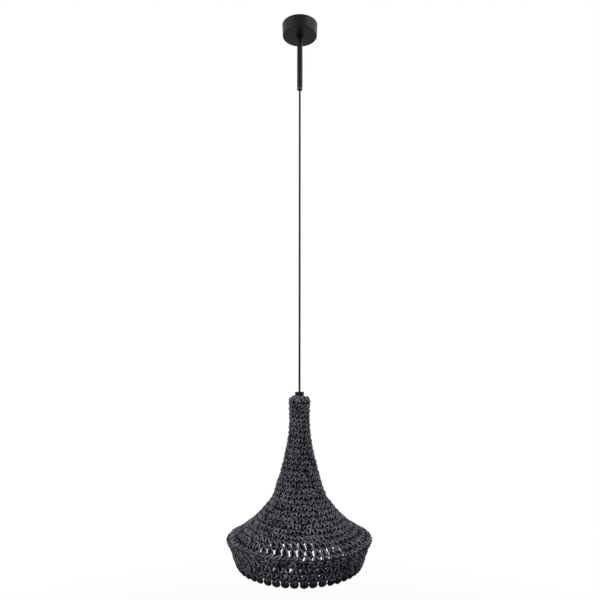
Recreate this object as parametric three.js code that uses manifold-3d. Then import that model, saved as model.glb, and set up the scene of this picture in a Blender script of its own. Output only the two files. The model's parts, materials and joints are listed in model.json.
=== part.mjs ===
// A pendant lamp: ceiling canopy, slim stem, long cable and a trumpet shade crocheted from thick rope.
// Millimetres, +Z up. The origin is where the strap's top face meets the ceiling, on the lamp's axis.

import * as THREE from 'three';
import { mergeVertices } from 'three/addons/utils/BufferGeometryUtils.js';
import Module from 'manifold-3d';

const wasm = await Module();
wasm.setup();

// Clearances
const seat = 0.3;
const runningGap = 0.4;
const overrun = 2;
const weldReach = 1e-4;

// Cable and wires
const cableRadius = 2.6;
const cableBore = 3.0;
const bendLength = 30;
const wireRadius = 0.85;
const wireSpread = 1.35;
const wireRise = 2.6;
const wireEntryDrop = 2.4;
const wireFanShare = 0.2;
const wireReachShare = 0.6;
const wireSpreadShare = 0.8;

// Ceiling strap and hanger yoke
const strapLength = 86;
const strapWidth = 20;
const strapThickness = 2;
const slotSpacing = 74;
const slotLength = 9;
const slotWidth = 4.6;
const yokeDepth = 14;
const yokeDrop = 24;
const yokeWall = 1.6;
const yokeBend = 2.4;
const nutRoom = 1.4;
const threadRadius = 5;
const threadClearance = 0.15;

// Nipple, nuts and cord grips
const nippleBore = 3.5;
const nippleAbovePlate = 10;
const nippleInStem = 15;
const nutFlats = 14;
const nutHeight = 5;
const washerRadius = 8;
const washerThickness = 1.5;
const gripRadius = 6.6;
const gripSkirt = 4;
const gripCrown = 2.8;
const gripLead = 0.8;

// Terminal block
const blockLength = 15;
const blockWidth = 19;
const blockHeight = 12;
const blockPoles = 3;
const poleRadius = 2;
const poleDepth = 3;
const polePort = 1.5;
const portDepth = 4;

// Canopy
const canopyRadius = 50;
const canopyHeight = 35;
const canopyWall = 1.2;
const canopyEdge = 2;
const collarRadius = 11;
const collarHeight = 4.5;
const collarChamfer = 0.8;
const grubRadius = 1.5;
const grubSocket = 0.75;
const grubSocketDepth = 1.2;

// Stem
const stemRadius = 8;
const stemVisible = 165;
const stemBore = 6.5;
const stemThreadDepth = 20;
const bushFlange = 5;
const bushSpigot = 14;
const bushMouth = 5;
const bushEdge = 0.8;

// Cap and hanging tube
const drop = 1058;
const capRadius = 12;
const capHeight = 25;
const capWall = 1.4;
const capEdge = 1;
const capBore = 3.2;
const tubeIntoCap = 9;
const tubeIntoHolder = 7.7;
const cupNutHeight = 4;
const innerGripRadius = 7;
const innerGripHeight = 10;
const screwHeightShare = 0.7;

// Holder sleeve and lampholder
const sleeveGap = 0.6;
const sleeveWall = 0.8;
const sleeveLength = 116;
const sleeveShoulder = 5;
const holderRadius = 14.2;
const holderLength = 52;
const holderWall = 3.4;
const holderBoss = 7.4;
const holderBossHeight = 9;
const holderShoulder = 4;
const bulkhead = 4;
const shellWall = 0.6;
const shellLength = 26;
const shellFlange = 1.2;
const shellInset = 2;
const contactRadius = 3;
const contactThickness = 0.8;
const holderRecess = 2;

// Bulb
const bulbBaseRadius = 7;
const bulbBaseLength = 17;
const bulbTipRadius = 3;
const bulbTipHeight = 2.6;
const bulbCollarLength = 14;
const bulbCollarRadius = 11.5;
const bulbCollarRim = 4.7;
const globeRadius = 22.5;
const globeWall = 0.9;
const globeNeck = 10;
const bulbLength = 78;

// Wire frame
const ringWire = 2;
const neckWire = 1.3;
const ribWire = 1.5;
const ribGap = 0.8;
const strutGap = 0.5;
const ribEntry = 28;
const lipRingShare = 0.93;
const ribCount = 4;
const ribTurn = Math.PI / 4;

// Crocheted cover: its outer silhouette, heights measured up from the scallops' tips
const shadeHeight = 418;
const coverWall = 9;
const mouthRadius = 12.9;
const topRadius = 15;
const shoulderRadius = 26.6;
const shoulderDrop = 9;
const neckMiddleRadius = 24.4;
const neckRadius = 26.6;
const neckLength = 83;
const neckSlope = 4.2;
const neckPull = 50.7;
const waistRadius = 69.9;
const coneLength = 173;
const conePull = 35;
const coneSlope = 22.5;
const flareSlope = 36.3;
const flarePull = 77.7;
const lipRadius = 185.5;
const lipHeight = 66;
const lipSlope = 66.5;
const lipPull = 15.5;
const lipRound = 5;
const bandTopRadius = 177;
const bandTopHeight = 45;
const bandSlope = -19;
const bandPull = 11;
const bandFootRadius = 166;
const bandFootHeight = 13.5;
const neckCourses = 6;
const coneCourses = 13;
const flareCourses = 10;
const bandCourses = 4;
const scallopCount = 46;
const courseRelief = 1.6;
const scallopDepth = 5.5;
const scallopRelief = 1.6;
const scallopLean = 2.5;
const ridgeFootShare = 0.06;
const ridgeTopShare = 0.55;
const coneInsideShares = [0.3, 0.43, 0.57, 0.71, 0.85];
const flareInsideShares = [0, 0.2, 0.4, 0.6, 0.8, 0.9, 1];
const coneRibShares = [0.36, 0.47, 0.6, 0.8, 1];
const flareRibShares = [0.12, 0.25, 0.42, 0.6, 0.8, 1];
const ribEntryShare = 0.3;

// Round pieces are drawn with these many sides, and rounded edges in these many steps
const fine = 38;
const medium = 24;
const small = 16;
const tiny = 8;
const ringSides = 6;
const edgeSteps = 3;
const innerEdgeSteps = 2;
const ribSteps = 14;
const strutSteps = 6;
const wireSteps = 9;
const scallopSteps = 3;
const globeSteps = 9;

// Finishes
const blackPaint = finish(0x242324, 0.42, 0.35);
const blackPlastic = finish(0x1c1b1c, 0.5, 0);
const cableCloth = finish(0x3e3935, 0.85, 0);
const rope = finish(0x35353a, 0.82, 0);
const wireSteel = finish(0xa8a8a8, 0.4, 0.8);
const zinc = finish(0x9a9c9e, 0.38, 0.85);
const brass = finish(0xb08d4a, 0.35, 0.9);
const blockPlastic = finish(0xd9d6cc, 0.55, 0);
const opalGlass = finish(0xf0eee8, 0.2, 0);
const whitePlastic = finish(0xe6e4de, 0.5, 0);
const liveBrown = finish(0x5a3a22, 0.5, 0);
const neutralBlue = finish(0x27508c, 0.5, 0);
const earthGreen = finish(0x6d9a35, 0.5, 0);

const lamp = new THREE.Group();

function finish(color, roughness, metalness) {
  return new THREE.MeshStandardMaterial({ color, roughness, metalness });
}

function add(name, geometry, material, place = [0, 0, 0]) {
  const mesh = new THREE.Mesh(geometry, material);
  mesh.name = name;
  mesh.position.set(...place);
  lamp.add(mesh);
  return mesh;
}

// A lathe about Z from [radius, height] pairs that run up the outside; a bored profile closes on itself
function turned(profile, sides, bored = false) {
  const points = profile.map(([r, z]) => new THREE.Vector2(r, z));
  if (bored) points.push(points[0].clone());
  const geometry = new THREE.LatheGeometry(points, sides);
  geometry.rotateX(Math.PI / 2);
  return geometry;
}

// Points of a quarter round from one direction to another about a centre
function arc(centre, radius, from, to, steps) {
  return Array.from({ length: steps + 1 }, (_, i) => {
    const angle = from + ((to - from) * i) / steps;
    return [centre[0] + radius * Math.cos(angle), centre[1] + radius * Math.sin(angle)];
  });
}

function pipe(outer, inner, bottom, top, sides) {
  return turned([[inner, bottom], [outer, bottom], [outer, top], [inner, top]], sides, true);
}

function rod(radius, bottom, top, sides) {
  return turned([[0, bottom], [radius, bottom], [radius, top], [0, top]], sides);
}

// An outline in X and Y, drawn up from one height to another
function upright(shape, bottom, top) {
  const geometry = new THREE.ExtrudeGeometry(shape, {
    depth: top - bottom,
    bevelEnabled: false,
    curveSegments: tiny,
  });
  geometry.translate(0, 0, bottom);
  return geometry;
}

function wire(curve, radius, steps, sides) {
  const section = new THREE.Shape();
  for (let i = 0; i < sides; i += 1) {
    const angle = (2 * Math.PI * i) / sides;
    const point = [radius * Math.cos(angle), radius * Math.sin(angle)];
    if (i === 0) section.moveTo(...point);
    else section.lineTo(...point);
  }
  section.closePath();
  return new THREE.ExtrudeGeometry(section, { steps, extrudePath: curve, bevelEnabled: false });
}

function ring(radius, thickness, height, sides) {
  const section = arc([radius, height], thickness, 0, 2 * Math.PI, ringSides).slice(0, -1);
  return turned(section, sides, true);
}

function solid(geometry) {
  const bare = geometry.clone();
  bare.deleteAttribute('normal');
  bare.deleteAttribute('uv');
  const merged = mergeVertices(bare, weldReach);
  const count = merged.attributes.position.count;
  const index = merged.index ? merged.index.array : Uint32Array.from({ length: count }, (_, i) => i);
  return new wasm.Manifold(
    new wasm.Mesh({
      numProp: 3,
      vertProperties: Float32Array.from(merged.attributes.position.array),
      triVerts: Uint32Array.from(index),
    }),
  );
}

function surface(body) {
  const mesh = body.getMesh();
  const geometry = new THREE.BufferGeometry();
  geometry.setAttribute('position', new THREE.BufferAttribute(mesh.vertProperties, 3));
  geometry.setIndex(new THREE.BufferAttribute(mesh.triVerts, 1));
  return geometry;
}

function cut(geometry, tools) {
  let body = solid(geometry);
  for (const tool of tools) body = body.subtract(solid(tool));
  return surface(body);
}

function slotShape(length, width) {
  const shape = new THREE.Shape();
  const half = (length - width) / 2;
  shape.absarc(half, 0, width / 2, -Math.PI / 2, Math.PI / 2);
  shape.absarc(-half, 0, width / 2, Math.PI / 2, (3 * Math.PI) / 2);
  shape.closePath();
  return shape;
}

function hexShape(flats, bore) {
  const shape = new THREE.Shape();
  const corner = flats / Math.sqrt(3);
  for (let i = 0; i < 6; i += 1) {
    const angle = (Math.PI * i) / 3;
    const point = [corner * Math.cos(angle), corner * Math.sin(angle)];
    if (i === 0) shape.moveTo(...point);
    else shape.lineTo(...point);
  }
  shape.closePath();
  const hole = new THREE.Path();
  hole.absarc(0, 0, bore, 0, 2 * Math.PI, true);
  shape.holes.push(hole);
  return shape;
}

// Heights that several pieces share
const threadBore = threadRadius + threadClearance;
const yokeTop = -strapThickness - seat;
const plateTop = yokeTop - yokeDrop;
const plateBottom = plateTop - yokeWall;
const nippleTop = plateTop + nippleAbovePlate;
const gripTop = nippleTop + seat + gripCrown;
const cableTop = gripTop + gripLead;
const stemTop = plateBottom - seat - washerThickness - seat;
const canopyTop = -seat;
const canopyBottom = canopyTop - canopyHeight;
const stemEnd = canopyBottom - stemVisible;
const stemTubeEnd = stemEnd + bushFlange + seat;
const nippleBottom = stemTop - nippleInStem;
const swingPivot = stemEnd - cableRadius;
const forePivot = swingPivot - bendLength;
const capTop = -drop;
const tiltPivot = capTop + cableRadius + seat;
const turnPlane = tiltPivot + bendLength;
const capBottom = capTop - capHeight;
const sleeveTop = capBottom - seat;
const sleeveBottom = sleeveTop - sleeveLength;
const tubeTop = capBottom + tubeIntoCap;
const sleeveRadius = holderRadius + sleeveGap + sleeveWall;
const holderMouth = sleeveBottom + holderRecess;
const holderTop = holderMouth + holderLength;
const tubeBottom = holderTop - tubeIntoHolder;
const holderFloor = holderTop - holderBossHeight - bulkhead;
const shadeTop = sleeveTop + seat + coverWall;
const scallopTip = shadeTop - shadeHeight;

function makeStrap() {
  const strap = upright(slotShape(strapLength, strapWidth), -strapThickness, 0);
  const slots = [-1, 1].map((side) => {
    const slot = upright(slotShape(slotLength, slotWidth), -strapThickness - overrun, overrun);
    slot.translate((side * slotSpacing) / 2, 0, 0);
    return slot;
  });
  add('ceiling_strap', cut(strap, slots), zinc);
}

// A bent strip: two flanges welded under the strap, two legs and a bored plate that carries the stem
function makeYoke() {
  const half = nutFlats / 2 + nutRoom + yokeWall;
  const outer = new THREE.Shape();
  outer.moveTo(-half, 0);
  outer.lineTo(-half, -yokeDrop - yokeWall + yokeBend);
  outer.absarc(-half + yokeBend, -yokeDrop - yokeWall + yokeBend, yokeBend, Math.PI, 1.5 * Math.PI, false);
  outer.lineTo(half - yokeBend, -yokeDrop - yokeWall);
  outer.absarc(half - yokeBend, -yokeDrop - yokeWall + yokeBend, yokeBend, -Math.PI / 2, 0, false);
  outer.lineTo(half, 0);
  outer.lineTo(half - yokeWall, 0);
  outer.lineTo(half - yokeWall, -yokeDrop);
  outer.lineTo(-half + yokeWall, -yokeDrop);
  outer.lineTo(-half + yokeWall, 0);
  outer.closePath();
  const strip = new THREE.ExtrudeGeometry(outer, {
    depth: yokeDepth,
    bevelEnabled: false,
    curveSegments: edgeSteps,
  });
  strip.translate(0, 0, -yokeDepth / 2);
  strip.rotateX(Math.PI / 2);
  strip.rotateZ(Math.PI / 2);
  const bore = rod(threadBore, -yokeDrop - yokeWall - overrun, -yokeDrop + overrun, small);
  add('hanger_yoke', cut(strip, [bore]), zinc, [0, 0, yokeTop]);
}

function makeStemFixings() {
  add('stem_nipple', pipe(threadRadius, nippleBore, nippleBottom, nippleTop, small), zinc);
  const nutBottom = plateTop + seat;
  add('stem_nut', upright(hexShape(nutFlats, threadBore), nutBottom, nutBottom + nutHeight), zinc);
  const washerTop = plateBottom - seat;
  add('stem_washer', pipe(washerRadius, threadBore, washerTop - washerThickness, washerTop, small), zinc);
  const skirtBottom = nippleTop - gripSkirt;
  const grip = [
    [threadBore, skirtBottom],
    [gripRadius, skirtBottom],
    [gripRadius, nippleTop],
    [gripRadius - gripCrown / 2, gripTop],
    [cableBore, gripTop],
    [cableBore, nippleTop + seat],
    [threadBore, nippleTop + seat],
  ];
  add('ceiling_cord_grip', turned(grip, small, true), blackPlastic);
}

// Terminal block with screw wells on top and wire ports on the side that faces the yoke
const blockNear = yokeDepth / 2 + gripRadius;
const blockTop = -strapThickness - seat;
const polePitch = blockWidth / blockPoles;
const polePlaces = Array.from({ length: blockPoles }, (_, i) => (i - (blockPoles - 1) / 2) * polePitch);

function makeTerminalBlock() {
  const body = new THREE.BoxGeometry(blockLength, blockWidth, blockHeight);
  body.translate(blockNear + blockLength / 2, 0, blockTop - blockHeight / 2);
  const tools = [];
  for (const y of polePlaces) {
    const well = rod(poleRadius, blockTop - blockHeight - overrun, blockTop - blockHeight + poleDepth, tiny);
    well.translate(blockNear + blockLength / 2, y, 0);
    tools.push(well);
    const port = rod(polePort, -overrun, portDepth, tiny);
    port.rotateY(Math.PI / 2);
    port.translate(blockNear, y, blockTop - blockHeight / 2);
    tools.push(port);
  }
  add('terminal_block', cut(body, tools), blockPlastic);
}

// Three cores fan out from the cable's end into the terminal block's ports
function makeWires() {
  const names = ['neutral_wire', 'live_wire', 'earth_wire'];
  const looks = [neutralBlue, liveBrown, earthGreen];
  const start = cableTop + seat;
  const portHeight = blockTop - blockHeight / 2;
  names.forEach((name, i) => {
    const angle = (2 * Math.PI * (i - 1)) / blockPoles;
    const pole = polePlaces[i];
    const x = wireSpread * Math.cos(angle);
    const y = (wireSpread * pole) / polePitch;
    const curve = new THREE.CatmullRomCurve3([
      new THREE.Vector3(x, y, start),
      new THREE.Vector3(x, y, start + wireRise / 2),
      new THREE.Vector3(x + wireRise, y + (pole - y) * wireFanShare, start + wireRise),
      new THREE.Vector3(blockNear * wireReachShare, pole * wireSpreadShare, portHeight + wireEntryDrop),
      new THREE.Vector3(blockNear - seat, pole, portHeight),
      new THREE.Vector3(blockNear + portDepth - seat, pole, portHeight),
    ]);
    add(name, wire(curve, wireRadius, wireSteps, ringSides), looks[i]);
  });
}

function makeStem() {
  const tube = [
    [stemBore, stemTubeEnd],
    [stemRadius, stemTubeEnd],
    [stemRadius, stemTop],
    [threadBore, stemTop],
    [threadBore, stemTop - stemThreadDepth],
    [stemBore, stemTop - stemThreadDepth - (stemBore - threadBore)],
  ];
  add('stem_tube', turned(tube, small, true), blackPaint);
  const spigotRadius = stemBore - seat;
  const flangeTop = stemTubeEnd - seat;
  const bush = [
    [bushMouth, stemEnd],
    [stemRadius - bushEdge, stemEnd],
    [stemRadius, stemEnd + bushEdge],
    [stemRadius, flangeTop],
    [spigotRadius, flangeTop],
    [spigotRadius, flangeTop + bushSpigot],
    [cableBore, flangeTop + bushSpigot],
    [cableBore, stemEnd + (bushMouth - cableBore)],
  ];
  add('stem_end_bush', turned(bush, small, true), blackPlastic);
}

function makeCanopy() {
  const boreRadius = stemRadius + runningGap;
  const round = [canopyRadius - canopyEdge, canopyBottom + canopyEdge];
  const edge = arc(round, canopyEdge, -Math.PI / 2, 0, edgeSteps);
  const innerEdge = arc(round, canopyEdge - canopyWall, 0, -Math.PI / 2, 1);
  const cup = [
    [boreRadius, canopyBottom],
    ...edge,
    [canopyRadius, canopyTop],
    [canopyRadius - canopyWall, canopyTop],
    ...innerEdge,
    [boreRadius, canopyBottom + canopyWall],
  ];
  add('canopy_cup', turned(cup, fine, true), blackPaint);
  const collarTop = canopyBottom - seat;
  const collarBottom = collarTop - collarHeight;
  const collar = turned([
    [boreRadius, collarBottom],
    [collarRadius - collarChamfer, collarBottom],
    [collarRadius, collarBottom + collarChamfer],
    [collarRadius, collarTop],
    [boreRadius, collarTop],
  ], medium, true);
  const hole = rod(grubRadius + seat, 0, collarRadius + overrun, tiny);
  hole.rotateX(-Math.PI / 2);
  const middle = collarBottom + (collarHeight + collarChamfer) / 2;
  hole.translate(0, 0, middle);
  add('canopy_collar', cut(collar, [hole]), blackPaint);
  const grubLength = collarRadius - boreRadius - seat;
  add('collar_grub_screw', grub(grubLength), zinc, [0, boreRadius, middle]);
}

// A set screw along +Y with a hexagon socket in its outer end
function grub(length) {
  const socket = rod(grubSocket, length - grubSocketDepth, length + overrun, 6);
  const screw = cut(rod(grubRadius, 0, length, tiny), [socket]);
  screw.rotateX(-Math.PI / 2);
  return screw;
}

// The cable is one run; each bend is a joint, where one stretch ends in a dome that the next turns about
function domed(bottom, top) {
  const dome = arc([0, bottom + cableRadius], cableRadius, -Math.PI / 2, 0, edgeSteps);
  dome[0][0] = 0;
  return turned([...dome, [cableRadius, top], [0, top]], tiny);
}

function makeCable() {
  const below = cableRadius + seat;
  add('cable_in_stem', domed(swingPivot - cableRadius, cableTop), cableCloth);
  add('cable_stem_bend', domed(forePivot - cableRadius, swingPivot - below), cableCloth);
  add('hanging_cable', rod(cableRadius, turnPlane + seat, forePivot - below, tiny), cableCloth);
  add('cable_cap_bend', domed(tiltPivot - cableRadius, turnPlane), cableCloth);
  add('cable_in_neck', rod(cableRadius, tubeBottom + seat, tiltPivot - below, tiny), cableCloth);
}

function makeCap() {
  const inside = capRadius - capWall;
  const edge = arc([capRadius - capEdge, capTop - capEdge], capEdge, 0, Math.PI / 2, edgeSteps);
  const cap = turned([
    [inside, capBottom],
    [capRadius, capBottom],
    ...edge,
    [capBore, capTop],
    [capBore, capTop - capWall],
    [inside, capTop - capWall],
  ], medium, true);
  const gripBottom = tubeTop + seat;
  const middle = gripBottom + innerGripHeight * screwHeightShare;
  const hole = rod(grubRadius + seat, 0, capRadius + overrun, tiny);
  hole.rotateX(-Math.PI / 2);
  hole.translate(0, 0, middle);
  add('cable_cap', cut(cap, [hole]), blackPaint);
  const gripTopInCap = gripBottom + innerGripHeight;
  add('inner_cord_grip', pipe(innerGripRadius, cableBore, gripBottom, gripTopInCap, small), blackPlastic);
  const screwLength = capRadius - innerGripRadius - seat - seat;
  add('cap_grub_screw', grub(screwLength), zinc, [0, innerGripRadius + seat, middle]);
  add('hanging_tube', pipe(threadRadius, nippleBore, tubeBottom, tubeTop, small), zinc);
}

function makeHolder() {
  const inside = sleeveRadius - sleeveWall;
  const round = [sleeveRadius - sleeveShoulder, sleeveTop - sleeveShoulder];
  const outerRound = arc(round, sleeveShoulder, 0, Math.PI / 2, edgeSteps);
  const innerRound = arc(round, sleeveShoulder - sleeveWall, Math.PI / 2, 0, innerEdgeSteps);
  const sleeve = [
    [inside, sleeveBottom],
    [sleeveRadius, sleeveBottom],
    ...outerRound,
    [threadBore, sleeveTop],
    [threadBore, sleeveTop - sleeveWall],
    ...innerRound,
  ];
  add('holder_sleeve', turned(sleeve, small, true), blackPaint);
  const nutTop = sleeveTop - sleeveWall - seat;
  add('sleeve_nut', upright(hexShape(nutFlats, threadBore), nutTop - cupNutHeight, nutTop), zinc);

  const well = holderRadius - holderWall;
  const bossFoot = holderTop - holderBossHeight;
  const shoulder = arc(
    [holderRadius - holderShoulder, bossFoot - holderShoulder],
    holderShoulder, 0, Math.PI / 2, edgeSteps,
  );
  const holder = [
    [0, holderFloor],
    [well, holderFloor],
    [well, holderMouth],
    [holderRadius, holderMouth],
    ...shoulder,
    [holderBoss, bossFoot],
    [holderBoss, holderTop],
    [threadBore, holderTop],
    [threadBore, bossFoot],
    [0, bossFoot],
  ];
  add('lampholder_body', turned(holder, small), blackPlastic);
  const shellRadius = bulbBaseRadius + runningGap + shellWall;
  const shellBottom = holderMouth + shellInset;
  const shell = [
    [shellRadius - shellWall, shellBottom],
    [well - seat, shellBottom],
    [well - seat, shellBottom + shellFlange],
    [shellRadius, shellBottom + shellFlange],
    [shellRadius, shellBottom + shellLength],
    [shellRadius - shellWall, shellBottom + shellLength],
  ];
  add('lampholder_screw_shell', turned(shell, small, true), brass);
  const seatHeight = bulbBottom + bulbLength + seat;
  const contact = [
    [0, seatHeight],
    [contactRadius, seatHeight],
    [contactRadius, seatHeight + contactThickness],
    [contactRadius / 2, seatHeight + contactThickness],
    [contactRadius / 2, holderFloor - seat],
    [0, holderFloor - seat],
  ];
  add('lampholder_contact', turned(contact, tiny), brass);
}

const bulbShoulder = holderMouth - seat;
const bulbBottom = bulbShoulder + bulbBaseLength + bulbTipHeight - bulbLength;

function makeBulb() {
  const baseTop = bulbShoulder + bulbBaseLength;
  add('bulb_screw_base', rod(bulbBaseRadius, bulbShoulder, baseTop, small), zinc);
  const tip = [
    [0, baseTop + seat],
    [bulbTipRadius + bulbTipHeight / 2, baseTop + seat],
    [bulbTipRadius, baseTop + bulbTipHeight],
    [0, baseTop + bulbTipHeight],
  ];
  add('bulb_tip_contact', turned(tip, tiny), brass);
  const collarTop = bulbShoulder - seat;
  const collarBottom = collarTop - bulbCollarLength;
  const collar = [
    [0, collarBottom],
    [bulbCollarRadius, collarBottom],
    [bulbCollarRadius, collarBottom + bulbCollarRim],
    [bulbBaseRadius + seat, collarTop],
    [0, collarTop],
  ];
  add('bulb_collar', turned(collar, small), whitePlastic);
  const centre = [0, bulbBottom + globeRadius];
  const neckTop = collarBottom - seat;
  const open = Math.asin(globeNeck / globeRadius);
  const innerRadius = globeRadius - globeWall;
  const innerOpen = Math.asin((globeNeck - globeWall) / innerRadius);
  const outside = arc(centre, globeRadius, -Math.PI / 2, Math.PI / 2 - open, globeSteps);
  const inside = arc(centre, innerRadius, Math.PI / 2 - innerOpen, -Math.PI / 2, globeSteps - innerEdgeSteps);
  outside[0][0] = 0;
  inside[inside.length - 1][0] = 0;
  const globe = [...outside, [globeNeck, neckTop], [globeNeck - globeWall, neckTop], ...inside];
  add('bulb_globe', turned(globe, small), opalGlass);
}

// The cover's outer silhouette, in stretches that run from the top down
const neckFoot = shadeTop - neckLength;
const waist = neckFoot - coneLength;
const lip = scallopTip + lipHeight;
const bandTop = scallopTip + bandTopHeight;
const bandFoot = scallopTip + bandFootHeight;

// A point of the silhouette, moved along a slope that is measured in degrees from straight down
function at(radius, height, slope = 0, pull = 0) {
  const angle = THREE.MathUtils.degToRad(slope);
  return new THREE.Vector2(radius + pull * Math.sin(angle), height - pull * Math.cos(angle));
}

const shoulderCurve = new THREE.QuadraticBezierCurve(
  at(topRadius, shadeTop),
  at(shoulderRadius, shadeTop),
  at(shoulderRadius, shadeTop - shoulderDrop),
);
const neckCurve = new THREE.QuadraticBezierCurve(
  at(shoulderRadius, shadeTop - shoulderDrop),
  at(neckMiddleRadius, (shadeTop - shoulderDrop + neckFoot) / 2),
  at(neckRadius, neckFoot),
);
const coneCurve = new THREE.CubicBezierCurve(
  at(neckRadius, neckFoot),
  at(neckRadius, neckFoot, neckSlope, neckPull),
  at(waistRadius, waist, coneSlope, -conePull),
  at(waistRadius, waist),
);
const flareCurve = new THREE.CubicBezierCurve(
  at(waistRadius, waist),
  at(waistRadius, waist, flareSlope, flarePull),
  at(lipRadius, lip, lipSlope, -lipPull),
  at(lipRadius, lip),
);
const lipCurve = new THREE.CubicBezierCurve(
  at(lipRadius, lip),
  at(lipRadius, lip, lipSlope, lipRound),
  at(bandTopRadius, bandTop, bandSlope, -bandPull),
  at(bandTopRadius, bandTop),
);
const bandCurve = new THREE.LineCurve(at(bandTopRadius, bandTop), at(bandFootRadius, bandFoot));
const rimCurve = new THREE.CurvePath();
rimCurve.add(lipCurve);
rimCurve.add(bandCurve);

// A point at some depth under the silhouette, at a share of a stretch's length
function under(curve, t, depth) {
  const point = curve.getPointAt(t);
  const along = curve.getTangentAt(t);
  return [point.x + along.y * depth, point.y - along.x * depth];
}

// The same depth under a stretch's end, carried on past it by a seat's gap
function past(curve, depth) {
  const [r, z] = under(curve, 1, depth);
  const along = curve.getTangentAt(1);
  return [r + along.x * seat, z + along.y * seat];
}

// Walks down a stretch and raises one ridge for each course of stitches
function ridged(curve, courses) {
  const points = [];
  for (let i = 0; i < courses; i += 1) {
    points.push(under(curve, (i + ridgeFootShare) / courses, courseRelief));
    points.push(under(curve, (i + ridgeTopShare) / courses, 0));
  }
  return points;
}

// A stretch of cover: ridges down the outside and a plain wall back up the inside
function cover(name, outside, inside, sides) {
  add(name, turned([...outside, ...inside.reverse()].reverse(), sides, true), rope);
}

function makeCover() {
  const crown = Array.from({ length: edgeSteps }, (_, i) => under(shoulderCurve, i / edgeSteps, 0));
  const sleeveSide = sleeveRadius + seat;
  cover('crochet_neck', [
    [mouthRadius, shadeTop],
    ...crown,
    ...ridged(neckCurve, neckCourses),
    [neckRadius - courseRelief, neckFoot + seat],
  ], [
    [mouthRadius, sleeveTop + seat],
    [sleeveSide, sleeveTop + seat],
    [sleeveSide, neckFoot + seat],
  ], small);

  const step = seat / coneCurve.getLength();
  cover('crochet_cone', [
    ...ridged(coneCurve, coneCourses),
    under(coneCurve, 1 - step, courseRelief),
  ], [
    [sleeveSide, neckFoot],
    [sleeveSide, sleeveBottom],
    ...coneInsideShares.map((t) => under(coneCurve, t, coverWall)),
    under(coneCurve, 1 - step, coverWall),
  ], medium);

  cover('crochet_flare', [
    ...ridged(flareCurve, flareCourses),
    under(flareCurve, 1, courseRelief),
  ], flareInsideShares.map((t) => under(flareCurve, t, coverWall)), fine);

  cover('crochet_band', [
    past(flareCurve, courseRelief),
    ...ridged(rimCurve, bandCourses).slice(1),
    [bandFootRadius - courseRelief, bandFoot],
  ], [
    past(flareCurve, coverWall),
    [bandTopRadius - coverWall, bandTop],
    [bandFootRadius - coverWall, bandFoot],
  ], fine);
}

// Joins sections that go round the axis into one closed skin
function skinned(sections) {
  const across = sections[0].length;
  const geometry = new THREE.BufferGeometry();
  geometry.setAttribute('position', new THREE.Float32BufferAttribute(sections.flat(2), 3));
  const faces = [];
  for (let i = 0; i < sections.length; i += 1) {
    const next = (i + 1) % sections.length;
    for (let j = 0; j < across; j += 1) {
      const beside = (j + 1) % across;
      const corners = [i * across + j, next * across + j, next * across + beside, i * across + beside];
      faces.push(corners[0], corners[2], corners[1], corners[0], corners[3], corners[2]);
    }
  }
  geometry.setIndex(faces);
  return geometry;
}

// The last course wraps the foot ring: each stitch hangs as one round scallop
function makeEdging() {
  const top = bandFoot - seat;
  const middle = (top + scallopTip) / 2;
  const count = scallopCount * scallopSteps;
  const sections = Array.from({ length: count }, (_, i) => {
    const angle = (2 * Math.PI * i) / count;
    const lobe = Math.abs(Math.sin((Math.PI * i) / scallopSteps));
    const notch = scallopDepth * (1 - lobe);
    const swell = scallopRelief * lobe;
    const profile = [
      [bandFootRadius - courseRelief, top],
      [bandFootRadius - scallopRelief + swell, middle],
      [bandFootRadius - scallopLean, scallopTip + notch + scallopRelief],
      [bandFootRadius - coverWall / 2, scallopTip + notch],
      [bandFootRadius - coverWall, top],
    ];
    return profile.map(([r, z]) => [r * Math.cos(angle), r * Math.sin(angle), z]);
  });
  add('crochet_edging', skinned(sections), rope);
}

// A point on the axis side of another, square to the line that comes down to it
function beside(point, from, distance) {
  const along = new THREE.Vector2(point[0] - from[0], point[1] - from[1]).normalize();
  return [point[0] + distance * along.y, point[1] - distance * along.x];
}

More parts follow.
